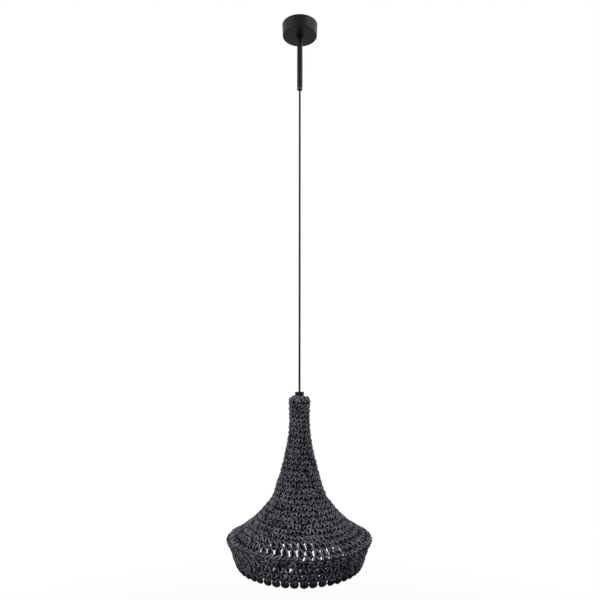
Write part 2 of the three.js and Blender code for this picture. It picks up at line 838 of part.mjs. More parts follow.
// Rings lie inside the cover, ribs run down its inner wall, and struts inside the rings carry the foot ring
function makeFrame() {
  const ringDepth = coverWall + seat + ringWire;
  const ribDepth = coverWall + ribGap + ribWire;
  const neckRing = sleeveBottom - seat - neckWire;
  const neckRingRadius = sleeveRadius - sleeveWall / 2;
  add('frame_neck_ring', ring(neckRingRadius, neckWire, neckRing, small), wireSteel);
  const waistRing = under(coneCurve, 1, ribDepth + ribWire + seat + ringWire);
  add('frame_waist_ring', ring(waistRing[0], ringWire, waistRing[1], medium), wireSteel);
  const lipRing = under(flareCurve, lipRingShare, ringDepth);
  add('frame_lip_ring', ring(lipRing[0], ringWire, lipRing[1], fine), wireSteel);
  const footRing = [bandFootRadius - ringDepth, bandFoot - seat - ringWire];
  add('frame_foot_ring', ring(footRing[0], ringWire, footRing[1], fine), wireSteel);

  const ribStop = lipRingShare - (ringWire + seat + seat) / flareCurve.getLength();
  const path = [
    [neckRingRadius, neckRing - neckWire - seat],
    [neckRingRadius + ribWire, neckRing - neckWire - ribEntry * ribEntryShare],
    ...coneRibShares.map((t) => under(coneCurve, t, ribDepth)),
    ...flareRibShares.map((t) => under(flareCurve, t * ribStop, ribDepth)),
  ];
  const strutInset = ringWire + strutGap + ribWire;
  const strutBend = [bandTopRadius - ribDepth, bandTop];
  const strutPath = [
    [lipRing[0] - strutInset, lipRing[1] - ribWire],
    strutBend,
    beside(footRing, strutBend, strutInset),
  ];
  for (let i = 0; i < ribCount; i += 1) {
    const turn = ribTurn + (2 * Math.PI * i) / ribCount;
    const place = ([r, z]) => new THREE.Vector3(r * Math.cos(turn), r * Math.sin(turn), z);
    const rib = new THREE.CatmullRomCurve3(path.map(place), false, 'centripetal');
    add(`frame_rib_${i + 1}`, wire(rib, ribWire, ribSteps, ringSides), wireSteel);
    const strut = new THREE.CatmullRomCurve3(strutPath.map(place), false, 'catmullrom', 0);
    add(`frame_strut_${i + 1}`, wire(strut, ribWire, strutSteps, ringSides), wireSteel);
  }
}

makeStrap();
makeYoke();
makeStemFixings();
makeTerminalBlock();
makeWires();
makeStem();
makeCanopy();
makeCable();
makeCap();
makeHolder();
makeBulb();
makeCover();
makeEdging();
makeFrame();

export default lamp;
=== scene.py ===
"""Pendant lamp with a crocheted rope shade: its looks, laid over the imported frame.

Sizes are millimetres, with the ceiling face at height zero and +Z up, and meshes are written in metres.
Every shape is a grid of two parameters or an outline carried along a path, worked out with numpy.
"""

import json
import logging
import math
from dataclasses import dataclass, field
from enum import Enum
from functools import cache

import bpy
import numpy as np
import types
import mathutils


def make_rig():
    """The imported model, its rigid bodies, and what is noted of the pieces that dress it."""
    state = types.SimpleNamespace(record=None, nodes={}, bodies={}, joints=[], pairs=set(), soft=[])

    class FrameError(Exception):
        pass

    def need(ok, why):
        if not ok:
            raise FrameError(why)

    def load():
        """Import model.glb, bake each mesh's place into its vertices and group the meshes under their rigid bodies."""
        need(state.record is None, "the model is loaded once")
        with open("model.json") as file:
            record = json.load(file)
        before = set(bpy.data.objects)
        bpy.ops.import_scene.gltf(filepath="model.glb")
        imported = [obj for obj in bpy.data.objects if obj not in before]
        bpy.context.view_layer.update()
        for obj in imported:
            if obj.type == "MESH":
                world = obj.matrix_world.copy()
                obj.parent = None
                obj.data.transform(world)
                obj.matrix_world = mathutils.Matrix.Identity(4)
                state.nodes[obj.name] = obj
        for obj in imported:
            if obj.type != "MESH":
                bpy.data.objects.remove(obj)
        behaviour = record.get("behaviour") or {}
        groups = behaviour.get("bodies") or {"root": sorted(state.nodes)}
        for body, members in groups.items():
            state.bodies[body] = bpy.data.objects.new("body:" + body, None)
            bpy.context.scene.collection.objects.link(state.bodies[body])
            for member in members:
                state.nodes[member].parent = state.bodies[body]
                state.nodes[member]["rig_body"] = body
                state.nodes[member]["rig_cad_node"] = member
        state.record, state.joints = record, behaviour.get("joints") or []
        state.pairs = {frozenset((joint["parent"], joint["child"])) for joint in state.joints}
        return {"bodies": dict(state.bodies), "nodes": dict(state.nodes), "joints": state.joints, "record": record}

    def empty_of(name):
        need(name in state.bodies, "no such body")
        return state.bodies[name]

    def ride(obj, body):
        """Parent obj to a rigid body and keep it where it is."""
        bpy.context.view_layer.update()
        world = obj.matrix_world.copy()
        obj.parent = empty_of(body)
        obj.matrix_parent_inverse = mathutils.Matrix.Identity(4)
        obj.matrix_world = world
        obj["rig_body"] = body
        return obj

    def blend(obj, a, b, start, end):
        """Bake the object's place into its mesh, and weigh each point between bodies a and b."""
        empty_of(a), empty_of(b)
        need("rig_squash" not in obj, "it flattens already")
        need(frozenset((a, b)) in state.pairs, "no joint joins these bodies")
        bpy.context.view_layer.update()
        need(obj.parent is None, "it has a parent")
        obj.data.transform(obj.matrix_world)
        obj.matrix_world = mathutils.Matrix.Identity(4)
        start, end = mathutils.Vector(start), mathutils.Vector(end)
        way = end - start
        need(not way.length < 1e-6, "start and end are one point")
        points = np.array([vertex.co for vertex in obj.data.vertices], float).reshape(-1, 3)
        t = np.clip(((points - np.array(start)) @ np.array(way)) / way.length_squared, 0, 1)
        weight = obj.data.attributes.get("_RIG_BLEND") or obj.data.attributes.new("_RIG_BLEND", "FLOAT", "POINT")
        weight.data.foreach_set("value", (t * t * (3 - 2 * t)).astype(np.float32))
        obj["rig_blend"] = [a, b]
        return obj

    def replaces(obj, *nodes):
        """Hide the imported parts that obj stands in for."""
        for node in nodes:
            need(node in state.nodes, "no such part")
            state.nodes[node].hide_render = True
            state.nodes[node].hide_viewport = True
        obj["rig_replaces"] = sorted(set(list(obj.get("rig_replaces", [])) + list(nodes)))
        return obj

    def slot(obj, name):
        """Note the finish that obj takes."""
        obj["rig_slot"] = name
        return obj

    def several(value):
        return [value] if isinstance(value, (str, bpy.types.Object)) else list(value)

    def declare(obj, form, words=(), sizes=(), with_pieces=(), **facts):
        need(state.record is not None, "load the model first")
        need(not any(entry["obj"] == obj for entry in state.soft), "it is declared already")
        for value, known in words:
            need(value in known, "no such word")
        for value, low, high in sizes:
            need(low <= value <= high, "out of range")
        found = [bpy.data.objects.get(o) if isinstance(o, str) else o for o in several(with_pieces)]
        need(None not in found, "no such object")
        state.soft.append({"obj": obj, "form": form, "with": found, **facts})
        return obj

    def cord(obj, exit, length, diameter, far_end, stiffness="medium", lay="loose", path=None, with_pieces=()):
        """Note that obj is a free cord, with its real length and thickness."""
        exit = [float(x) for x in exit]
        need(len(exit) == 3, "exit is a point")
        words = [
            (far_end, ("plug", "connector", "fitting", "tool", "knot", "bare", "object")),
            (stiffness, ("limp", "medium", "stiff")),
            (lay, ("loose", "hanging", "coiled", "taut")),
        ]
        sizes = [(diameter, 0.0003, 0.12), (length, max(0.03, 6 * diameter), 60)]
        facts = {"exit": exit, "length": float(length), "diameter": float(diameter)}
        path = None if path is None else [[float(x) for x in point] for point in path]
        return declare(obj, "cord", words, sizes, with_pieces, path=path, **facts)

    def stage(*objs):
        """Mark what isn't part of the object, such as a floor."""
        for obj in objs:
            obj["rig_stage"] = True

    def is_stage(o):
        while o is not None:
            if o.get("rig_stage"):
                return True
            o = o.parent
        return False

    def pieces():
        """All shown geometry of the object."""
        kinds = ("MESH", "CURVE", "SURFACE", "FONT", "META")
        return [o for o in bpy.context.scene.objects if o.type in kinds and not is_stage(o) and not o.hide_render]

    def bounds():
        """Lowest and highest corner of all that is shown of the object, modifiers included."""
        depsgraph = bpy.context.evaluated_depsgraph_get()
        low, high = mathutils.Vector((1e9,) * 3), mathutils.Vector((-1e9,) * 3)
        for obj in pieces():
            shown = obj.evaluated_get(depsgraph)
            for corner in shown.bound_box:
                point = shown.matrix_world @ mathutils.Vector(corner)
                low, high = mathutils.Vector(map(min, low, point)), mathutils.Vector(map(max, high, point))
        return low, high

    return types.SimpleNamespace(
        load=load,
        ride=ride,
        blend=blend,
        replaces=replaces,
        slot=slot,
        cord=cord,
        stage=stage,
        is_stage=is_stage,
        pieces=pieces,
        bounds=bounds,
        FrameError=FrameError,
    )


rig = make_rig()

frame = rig.load()
cad_box = [list(corner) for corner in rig.bounds()]

MM = 0.001
TURN = 2 * math.pi
TINY = 1e-6
# Angles in degrees past which an edge of a turned piece, or of a tube's end, is sharp
TURNED_CREASE = 35
TUBE_CREASE = 50
# How far out a strand may lie past the cover's outline, and the depth from there to the inner face
OUTERMOST = 1.5
COVER_DEPTH = 12
# A rounded corner takes up at most this share of its shorter side, and has a guard point at a share of that
CORNER_SHARE = 0.42
GUARD_SHARE = 0.25
SIZE_FILE = "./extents.json"
Array = np.ndarray
Socket = bpy.types.NodeSocket
log = logging.getLogger("lamp")


# Surfaces


@dataclass
class Shell:
    """A closed surface: points in millimetres, rows of four corners (a triangle's last is -1) and corner UVs.

    A rope's points also carry how deep they lie in the cover, as a share of its depth, which sets their painted shade.
    """

    points: Array
    faces: Array
    uv: Array | None = None
    depth: Array | None = None

    def volume(self) -> float:
        """Signed volume: the sum of a . (b x c) / 6 over the triangles of all faces.

        Returns:
            Cubic millimetres, negative where the faces point inwards.
        """
        p = self.points
        first = self.faces[:, :3]
        second = self.faces[self.faces[:, 3] >= 0][:, [0, 2, 3]]
        a, b, c = (p[np.concatenate([first[:, i], second[:, i]])] for i in range(3))
        return float((a * np.cross(b, c)).sum() / 6)

    def outward(self) -> "Shell":
        """The same surface with its faces turned to point out of it.

        Returns:
            This surface, or one with each face's corners in the other order.
        """
        if self.volume() >= 0:
            return self
        swap = np.where(self.faces[:, 3:] >= 0, [[3, 2, 1, 0]], [[2, 1, 0, 3]])
        uv = None if self.uv is None else np.take_along_axis(self.uv, swap[..., None], 1)
        return Shell(self.points, np.take_along_axis(self.faces, swap, 1), uv, self.depth)


def joined(shells: list[Shell]) -> Shell:
    """Puts several surfaces in one, by adding the count of the points before to each one's corners.

    Args:
        shells: The surfaces, all with UVs or all without.

    Returns:
        One surface of several closed parts.
    """
    starts = np.cumsum([0] + [len(s.points) for s in shells[:-1]])
    faces = [np.where(s.faces >= 0, s.faces + start, -1) for s, start in zip(shells, starts)]
    uv = None if shells[0].uv is None else np.concatenate([s.uv for s in shells])
    return Shell(np.concatenate([s.points for s in shells]), np.concatenate(faces), uv)


def grid_faces(rows: int, columns: int, wrap_rows: bool) -> Array:
    """Four corners for each cell of a grid of points that closes on itself along its columns.

    Args:
        rows: Points down the grid.
        columns: Points round it.
        wrap_rows: Whether the last row joins the first.

    Returns:
        Corner numbers, one row for each face.
    """
    i, j = np.meshgrid(np.arange(rows if wrap_rows else rows - 1), np.arange(columns), indexing="ij")
    below, beside = (i + 1) % rows, (j + 1) % columns
    corners = [i * columns + j, i * columns + beside, below * columns + beside, below * columns + j]
    return np.stack(corners, -1).reshape(-1, 4)


def fan(ring_start: int, columns: int, centre: int, flip: bool) -> Array:
    """Triangles from one point to a ring of points, (centre, j, j + 1) or the other way round.

    Args:
        ring_start: Number of the ring's first point.
        columns: Points in the ring.
        centre: Number of the point in the middle.
        flip: Whether the triangles run the other way.

    Returns:
        Corner numbers, with -1 as each row's last.
    """
    j = np.arange(columns)
    pair = [ring_start + j, ring_start + (j + 1) % columns]
    first, second = pair[::-1] if flip else pair
    return np.stack([np.full(columns, centre), first, second, np.full(columns, -1)], -1)


def lathe(outline: Array | list, sides: int) -> Shell:
    """Turns an outline about the axis: x = r cos a, y = r sin a, z = height, for a from 0 to a full turn.

    Args:
        outline: Pairs of radius and height. It closes on itself, unless both ends lie on the axis.
        sides: Points round the axis.

    Returns:
        The closed surface.
    """
    outline = np.asarray(outline, float)
    poled = outline[0, 0] < TINY and outline[-1, 0] < TINY
    body = outline[1:-1] if poled else outline
    angle = np.arange(sides) * TURN / sides
    radius, height = body[:, :1], body[:, 1:]
    points = np.stack([radius * np.cos(angle), radius * np.sin(angle), height + 0 * angle], -1).reshape(-1, 3)
    faces = grid_faces(len(body), sides, not poled)
    if poled:
        tips = [[0, 0, outline[0, 1]], [0, 0, outline[-1, 1]]]
        last = (len(body) - 1) * sides
        ends = [fan(0, sides, len(points), True), fan(last, sides, len(points) + 1, False)]
        points, faces = np.concatenate([points, tips]), np.concatenate([faces, *ends])
    return Shell(points, faces).outward()


def softened(corners: Array | list, steps: int = 4) -> Array:
    """Rounds an outline's corners.

    Each corner P becomes the curve (1-t)^2 A + 2t(1-t) P + t^2 B, between the points A and B that lie on its
    two sides at its ease from it.

    Args:
        corners: Rows of radius, height and ease, the length over which the corner is rounded.
        steps: Parts of each curve.

    Returns:
        The outline with rounded corners, and a point close before and after each so that flats shade flat.
    """
    corners = np.asarray(corners, float)
    outline, ease = corners[:, :2], corners[:, 2:]
    before, after = np.roll(outline, 1, 0) - outline, np.roll(outline, -1, 0) - outline
    near, far = (np.linalg.norm(side, axis=1, keepdims=True) for side in (before, after))
    reach = np.minimum(ease, CORNER_SHARE * np.minimum(near, far))
    a, b = outline + before / near * reach, outline + after / far * reach
    t = np.linspace(0, 1, steps + 1)[:, None, None]
    curve = (1 - t) ** 2 * a + 2 * t * (1 - t) * outline + t**2 * b
    guard = GUARD_SHARE * reach
    rows = np.concatenate([(a + before / near * guard)[None], curve, (b + after / far * guard)[None]])
    points = rows.transpose(1, 0, 2).reshape(-1, 2)
    apart = np.linalg.norm(np.diff(points, axis=0), axis=1) > TINY
    return points[np.concatenate([[True], apart])]


def quarter(centre: tuple, radius: float, start: float, end: float, steps: int) -> Array:
    """Points of a round from one angle to another, in degrees: centre + radius (cos a, sin a)."""
    angle = np.radians(np.linspace(start, end, steps + 1))
    return np.stack([centre[0] + radius * np.cos(angle), centre[1] + radius * np.sin(angle)], -1)


def product(a: Array, b: Array) -> Array:
    """Products of two lists of unit quaternions, row by row: (w w' - v . v', w v' + w' v + v x v').

    Args:
        a: Rows of w and the three of v.
        b: Rows of w' and the three of v'.

    Returns:
        The products, in rows alike.
    """
    w = a[:, :1] * b[:, :1] - (a[:, 1:] * b[:, 1:]).sum(1, keepdims=True)
    v = a[:, :1] * b[:, 1:] + b[:, :1] * a[:, 1:] + np.cross(a[:, 1:], b[:, 1:])
    return np.concatenate([w, v], 1)


def unit(vectors: Array) -> Array:
    """The same directions, one long."""
    return vectors / np.linalg.norm(vectors, axis=-1, keepdims=True)


def carried_frames(path: Array, closed: bool) -> tuple[Array, Array]:
    """Two directions square to a path at each point, carried along it without twist.

    Each step turns one tangent onto the next by the quaternion (1 + a.b, a x b). The running product of the
    turns is found by doubling: after each pass a turn also holds the ones before it, twice as far back.

    Args:
        path: Points along the path.
        closed: Whether its end meets its start.

    Returns:
        The two directions at each point.
    """
    if closed:
        along = np.roll(path, -1, 0) - np.roll(path, 1, 0)
    else:
        along = np.gradient(path, axis=0)
    along = unit(along)
    a, b = along[:-1], along[1:]
    turn = unit(np.concatenate([1 + (a * b).sum(1, keepdims=True), np.cross(a, b)], 1))
    reach = 1
    while reach < len(turn):
        turn[reach:] = unit(product(turn[reach:], turn[:-reach]))
        reach *= 2
    start = np.eye(3)[np.argmin(np.abs(along[0]))]
    start = unit(start - along[0] * (start @ along[0]))
    spin = 2 * np.cross(turn[:, 1:], start)
    side = np.concatenate([start[None], start + turn[:, :1] * spin + np.cross(turn[:, 1:], spin)])
    side = unit(side - along * (side * along).sum(1, keepdims=True))
    other = np.cross(along, side)
    if closed:
        home = unit(side[-1] - along[0] * (side[-1] @ along[0]))
        left = math.atan2(float(np.cross(home, side[0]) @ along[0]), float(home @ side[0]))
        share = (left * np.arange(len(path)) / len(path))[:, None]
        cos, sin = np.cos(share), np.sin(share)
        side, other = side * cos + other * sin, other * cos - side * sin
    return side, other


def tube(path: Array, radius: float | Array, sides: int, closed: bool = False, start: float = 0) -> Shell:
    """A round section carried along a path: P + radius (U cos a + W sin a), closed by a fan at each open end.

    Its UV is the share of the way round and the length along the path in centimetres.

    Args:
        path: Points along the middle.
        radius: One radius, or one for each point.
        sides: Points round the section.
        closed: Whether the path's end meets its start.
        start: Length before the path's first point, for the UV.

    Returns:
        The closed surface, with UVs.
    """
    side, other = carried_frames(path, closed)
    angle = (np.arange(sides) * TURN / sides)[None, :, None]
    wide = np.broadcast_to(radius, len(path))[:, None, None]
    points = path[:, None] + wide * (side[:, None] * np.cos(angle) + other[:, None] * np.sin(angle))
    points, rows = points.reshape(-1, 3), len(path)
    faces = grid_faces(rows, sides, closed)
    step = np.linalg.norm(np.roll(path, -1, 0) - path, axis=1)
    length = (start + np.concatenate([[0], np.cumsum(step)])) / 10
    i, j = np.meshgrid(np.arange(rows if closed else rows - 1), np.arange(sides), indexing="ij")
    i, j = i.ravel(), j.ravel()
    round_share = np.stack([j, j + 1, j + 1, j], -1) / sides
    uv = np.stack([round_share, np.stack([length[i], length[i], length[i + 1], length[i + 1]], -1)], -1)
    if not closed:
        last = (rows - 1) * sides
        ends = [fan(0, sides, len(points), True), fan(last, sides, len(points) + 1, False)]
        points = np.concatenate([points, path[:1], path[-1:]])
        faces = np.concatenate([faces, *ends])
        flat = np.zeros((sides, 4, 2))
        flat[..., 1] = length[0]
        tail = flat.copy()
        tail[..., 1] = length[rows - 1]
        uv = np.concatenate([uv, flat, tail])
    return Shell(points, faces, uv).outward()


def bead(centre: Array, radii: Array, rows: int = 6, sides: int = 10) -> Shell:
    """A ball drawn out to three radii: centre + (a sin p cos q, b sin p sin q, c cos p), for all p and q.

    Args:
        centre: Its middle.
        radii: The radii a, b and c.
        rows: Parts of p, from pole to pole.
        sides: Points round the axis.

    Returns:
        The closed surface, without UVs.
    """
    p = np.linspace(0, math.pi, rows + 1)[1:-1, None]
    q = (np.arange(sides) * TURN / sides)[None]
    ball = np.stack([np.sin(p) * np.cos(q), np.sin(p) * np.sin(q), np.cos(p) + 0 * q], -1).reshape(-1, 3)
    ball = np.concatenate([ball, [[0, 0, 1], [0, 0, -1]]])
    ring_points = len(ball) - 2
    ends = [fan(0, sides, ring_points, True), fan(ring_points - sides, sides, ring_points + 1, False)]
    faces = np.concatenate([grid_faces(rows - 1, sides, False), *ends])
    return Shell(centre + ball * radii, faces).outward()


def mesh_object(name: str, shell: Shell, crease: float | None) -> bpy.types.Object:
    """Writes a surface into a new mesh object at the origin.

    Args:
        name: The object's name.
        shell: The surface, in millimetres.
        crease: Angle in degrees past which an edge is sharp, or None for a surface that is smooth all over.

    Returns:
        The object, linked into the scene.
    """
    corners = shell.faces >= 0
    counts = corners.sum(1)
    mesh = bpy.data.meshes.new(name)
    mesh.vertices.add(len(shell.points))
    mesh.vertices.foreach_set("co", (shell.points * MM).astype(np.float32).ravel())
    mesh.loops.add(int(counts.sum()))
    mesh.loops.foreach_set("vertex_index", shell.faces[corners].astype(np.int32))
    mesh.polygons.add(len(counts))
    mesh.polygons.foreach_set("loop_start", (np.cumsum(counts) - counts).astype(np.int32))
    mesh.update(calc_edges=True)
    mesh.validate()
    if shell.uv is not None:
        layer = mesh.uv_layers.new(name="UVMap")
        layer.uv.foreach_set("vector", shell.uv[corners].astype(np.float32).ravel())
    if shell.depth is not None:
        depth = mesh.attributes.new("depth", "FLOAT", "POINT")
        depth.data.foreach_set("value", shell.depth.astype(np.float32))
    mesh.shade_smooth()
    if crease is not None:
        mesh.set_sharp_from_angle(angle=math.radians(crease))
    piece = bpy.data.objects.new(name, mesh)
    bpy.context.scene.collection.objects.link(piece)
    return piece


# Finishes


class Coordinates(Enum):
    """Where a pattern is read: the object's own space, or the UV map of a rope or cable."""

    OBJECT = "Object"
    UV = "UV"


class Detail(Enum):
    """How many times a noise is laid over itself at half the size."""

    SMOOTH = 2
    SOFT = 3
    ROUGH = 4
    WORN = 5


class Nodes:
    """A material's nodes, added one at a time round one principled shader."""

    def __init__(self, name: str) -> None:
        """Makes an empty material with its shader and output.

        Args:
            name: The material's name.
        """
        self.material = bpy.data.materials.new(name)
        self.material.use_nodes = True
        self.tree = self.material.node_tree
        self.tree.nodes.clear()
        self.output = self.tree.nodes.new("ShaderNodeOutputMaterial")
        self.shader = self.tree.nodes.new("ShaderNodeBsdfPrincipled")
        self.join(self.shader.outputs["BSDF"], self.output.inputs["Surface"])

    def join(self, output: Socket, target: Socket) -> None:
        """Links an output to an input."""
        self.tree.links.new(output, target)

    def add(self, kind: str, inputs: dict | None = None, **settings: object) -> bpy.types.Node:
        """Adds a node.

        Args:
            kind: Its type name.
            inputs: Values or outputs for its inputs, by name or number.
            settings: Its properties.

        Returns:
            The node.
        """
        node = self.tree.nodes.new(kind)
        for key, value in settings.items():
            setattr(node, key, value)
        for key, value in (inputs or {}).items():
            if isinstance(value, Socket):
                self.join(value, node.inputs[key])
            else:
                node.inputs[key].default_value = value
        return node

    def set(self, **values: object) -> None:
        """Sets or links the shader's own sockets.

        Args:
            values: Values or outputs, by the socket's name with an underscore for each space.
        """
        for key, value in values.items():
            socket = self.shader.inputs[key.replace("_", " ")]
            if isinstance(value, Socket):
                self.join(value, socket)
            else:
                socket.default_value = value

    def place(self, where: Coordinates, stretch: tuple = (1, 1, 1)) -> Socket:
        """Coordinates drawn out along each axis."""
        source = self.add("ShaderNodeTexCoord").outputs[where.value]
        return self.add("ShaderNodeMapping", {"Vector": source, "Scale": stretch}).outputs[0]

    def math(self, operation: str, *values: object) -> Socket:
        """One step of arithmetic on numbers or outputs."""
        return self.add("ShaderNodeMath", dict(enumerate(values)), operation=operation).outputs[0]

    def noise(self, vector: Socket, scale: float, detail: Detail) -> Socket:
        """Soft noise from 0 to 1."""
        made = self.add("ShaderNodeTexNoise", {"Vector": vector, "Scale": scale, "Detail": detail.value})
        return made.outputs[0]

    def ramp(self, factor: Socket, *stops: tuple) -> Socket:
        """Colours by factor.

        Args:
            factor: An output from 0 to 1.
            stops: A place and a colour each.

        Returns:
            The colour's output.
        """
        made = self.add("ShaderNodeValToRGB", {0: factor})
        points = made.color_ramp.elements
        while len(points) < len(stops):
            points.new(0.5)
        for point, (place, colour) in zip(points, stops):
            point.position, point.color = place, colour
        return made.outputs[0]

    def toned(self, factor: Socket, colour: tuple, tones: tuple) -> Socket:
        """One colour, lighter or darker by factor; each tone is a place and a gain."""
        return self.ramp(factor, *((place, shade_of(colour, gain)) for place, gain in tones))

    def clouded(self, colour: tuple, tones: tuple, scale: float, detail: Detail) -> Socket:
        """Gives the shader a colour in soft patches.

        Args:
            colour: The colour's screen values.
            tones: Places in the noise and the gain on the colour there.
            scale: The noise's scale.
            detail: The noise's detail.

        Returns:
            The noise that places the patches.
        """
        cloud = self.noise(self.place(Coordinates.OBJECT), scale, detail)
        self.set(Base_Color=self.toned(cloud, colour, tones))
        return cloud

    def spread(self, factor: Socket, taken: tuple, given: tuple) -> Socket:
        """A factor with one range, from low to high, laid over another."""
        made = self.add("ShaderNodeMapRange", {0: factor, **dict(enumerate((*taken, *given), 1))})
        return made.outputs[0]

    def crossing(self, strands: int, lay: float) -> Socket:
        """Two families of strands that cross on a rope or cable, of which the higher shows.

        Each is a wave: sin(strands * way round + length / lay), and the same with a minus, in whole turns.

        Args:
            strands: Strands of one family round the section.
            lay: Length along the path from one to the next, in centimetres.

        Returns:
            The height of the surface, from -1 to 1.
        """
        parts = self.add("ShaderNodeSeparateXYZ", {0: self.place(Coordinates.UV)})
        around = self.math("MULTIPLY", parts.outputs[0], TURN * strands)
        along = self.math("MULTIPLY", parts.outputs[1], TURN / lay)
        left = self.math("SINE", self.math("ADD", around, along))
        right = self.math("SINE", self.math("SUBTRACT", around, along))
        return self.math("MAXIMUM", left, right)

    def mixed(self, first: Socket, share: float, other: Socket, rest: float) -> Socket:
        """The sum of two outputs, each times its share."""
        return self.math("ADD", self.math("MULTIPLY", first, share), self.math("MULTIPLY", other, rest))

    def bump(self, height: Socket, distance: float, strength: float) -> None:
        """Raises the surface by a height pattern; distance is in metres."""
        made = self.add("ShaderNodeBump", {"Height": height, "Distance": distance, "Strength": strength})
        self.set(Normal=made.outputs[0])


def shade_of(level: tuple, gain: float) -> tuple:
    """A colour given as screen values, made linear by the screen's own curve.

    Args:
        level: Red, green and blue from 0 to 255.
        gain: What the linear colour is multiplied by.

    Returns:
        Linear red, green, blue and alpha.
    """
    value = np.asarray(level) / 255
    linear = np.where(value <= 0.04045, value / 12.92, ((value + 0.055) / 1.055) ** 2.4)
    return (*np.clip(linear * gain, 0, 1).tolist(), 1)


@dataclass(frozen=True)
class PaintFinish:
    """Satin paint with a fine orange peel and rubbed, slightly lighter patches."""

    name: str
    colour: tuple
    tones: tuple = ((0.3, 0.86), (0.7, 1.16))
    patches: float = 22
    roughness: tuple = (0.38, 0.47)
    rubbing: float = 90
    rubbed: tuple = (0.3, 0.7)
    gloss: float = 0.12
    peel: float = 2600
    peel_depth: float = 0.00002
    peel_strength: float = 0.2

    def material(self) -> bpy.types.Material:
        """Builds the nodes.

        Returns:
            The material.
        """
        n = Nodes(self.name)
        n.clouded(self.colour, self.tones, self.patches, Detail.ROUGH)
        here = n.place(Coordinates.OBJECT)
        rub = n.noise(here, self.rubbing, Detail.WORN)
        n.set(Roughness=n.spread(rub, self.rubbed, self.roughness), Specular_IOR_Level=self.gloss)
        n.bump(n.noise(here, self.peel, Detail.SMOOTH), self.peel_depth, self.peel_strength)
        return n.material


@dataclass(frozen=True)
class RopeFinish:
    """Plaited charcoal rope: crossing strands fluffed by fibres, dusted lighter in places, with painted light and
    shade.
    """

    name: str
    colour: tuple
    strands: int = 3
    lay: float = 0.9
    strand_share: float = 0.75
    fibre_stretch: tuple = (14, 9, 1)
    fibres: float = 3
    fibre_share: float = 0.5
    dust: float = 60
    dust_share: float = 0.6
    # Share of strand height in the tone: painted shade in the grooves between strands, painted light on their crests
    groove_shade_share: float = 0.3
    tones: tuple = ((0.12, 0.52), (0.5, 1.32), (0.86, 2.55))
    # Painted light and shade by depth, a share of full colour: light outside, dark between strands, paler inner face
    painted_depth_shade: tuple = (
        (0, 1.25), (0.05, 1.0), (0.12, 0.66), (0.2, 0.3),
        (0.3, 0.12), (0.42, 0.06), (0.92, 0.3), (1, 0.5),
    )
    roughness: float = 0.8
    gloss: float = 0.05
    relief: float = 0.0005
    relief_strength: float = 0.8

    def material(self) -> bpy.types.Material:
        """Builds the nodes: strands and fibres give the height, height and dust the tone, and depth a painted shade.

        Returns:
            The material.
        """
        n = Nodes(self.name)
        plait = n.crossing(self.strands, self.lay)
        fibre = n.noise(n.place(Coordinates.UV, self.fibre_stretch), self.fibres, Detail.ROUGH)
        height = n.mixed(plait, self.strand_share, fibre, self.fibre_share)
        dust = n.noise(n.place(Coordinates.OBJECT), self.dust, Detail.SOFT)
        # Painted light and shade from the strand height, with dust as random lighter patches
        tone = n.toned(n.mixed(height, self.groove_shade_share, dust, self.dust_share), self.colour, self.tones)
        depth = n.add("ShaderNodeAttribute", attribute_name="depth").outputs["Fac"]
        # Painted shade by depth: darkest between the strands and mid-work, lighter on the outer and inner faces
        painted_shade = n.ramp(depth, *((place, (level, level, level, 1)) for place, level in self.painted_depth_shade))
        n.set(Base_Color=n.add("ShaderNodeVectorMath", {0: tone, 1: painted_shade}, operation="MULTIPLY").outputs[0])
        n.set(Roughness=self.roughness, Specular_IOR_Level=self.gloss)
        n.bump(height, self.relief, self.relief_strength)
        return n.material


@dataclass(frozen=True)
class BraidFinish:
    """Textile braid over a round cable: fine crossing yarns, painted darker between them, with slightly lighter
    flecks.
    """

    name: str
    colour: tuple
    yarns: int = 8
    lay: float = 0.31
    yarn_groove_shade_share: float = 0.28
    fleck_stretch: tuple = (18, 11, 1)
    flecks: float = 2
    fleck_share: float = 0.8
    tones: tuple = ((0.2, 0.88), (0.52, 1.0), (0.85, 1.14))
    roughness: float = 0.88
    gloss: float = 0.04
    relief: float = 0.00006
    relief_strength: float = 0.35

    def material(self) -> bpy.types.Material:
        """Builds the nodes: yarns, as painted shade between them, and flecks give the tone, and the yarns alone the
        relief.

        Returns:
            The material.
        """
        n = Nodes(self.name)
        braid = n.crossing(self.yarns, self.lay)
        fleck = n.noise(n.place(Coordinates.UV, self.fleck_stretch), self.flecks, Detail.SMOOTH)
        # Painted shade between the crossing yarns and painted light on them; the flecks are random tone
        tone = n.mixed(braid, self.yarn_groove_shade_share, fleck, self.fleck_share)
        n.set(Base_Color=n.toned(tone, self.colour, self.tones))
        n.set(Roughness=self.roughness, Specular_IOR_Level=self.gloss)
        n.bump(braid, self.relief, self.relief_strength)
        return n.material


@dataclass(frozen=True)
class MetalFinish:
    """Plated or drawn metal with fine marks along its length and cloudy tarnish."""

    name: str
    colour: tuple
    roughness: float = 0.36
    tones: tuple = ((0.3, 0.72), (0.7, 1.1))
    tarnish: float = 70
    mark_stretch: tuple = (240, 240, 900)
    marks: float = 1.5
    uneven: tuple = (-0.1, 0.16)
    mark_depth: float = 0.00003
    mark_strength: float = 0.5

    def material(self) -> bpy.types.Material:
        """Builds the nodes.

        Returns:
            The material.
        """
        n = Nodes(self.name)
        n.clouded(self.colour, self.tones, self.tarnish, Detail.ROUGH)
        here = n.place(Coordinates.OBJECT, self.mark_stretch)
        lines = n.noise(here, self.marks, Detail.SOFT)
        rough = [self.roughness + step for step in self.uneven]
        n.set(Metallic=1.0, Roughness=n.spread(lines, (0, 1), rough))
        n.bump(lines, self.mark_depth, self.mark_strength)
        return n.material


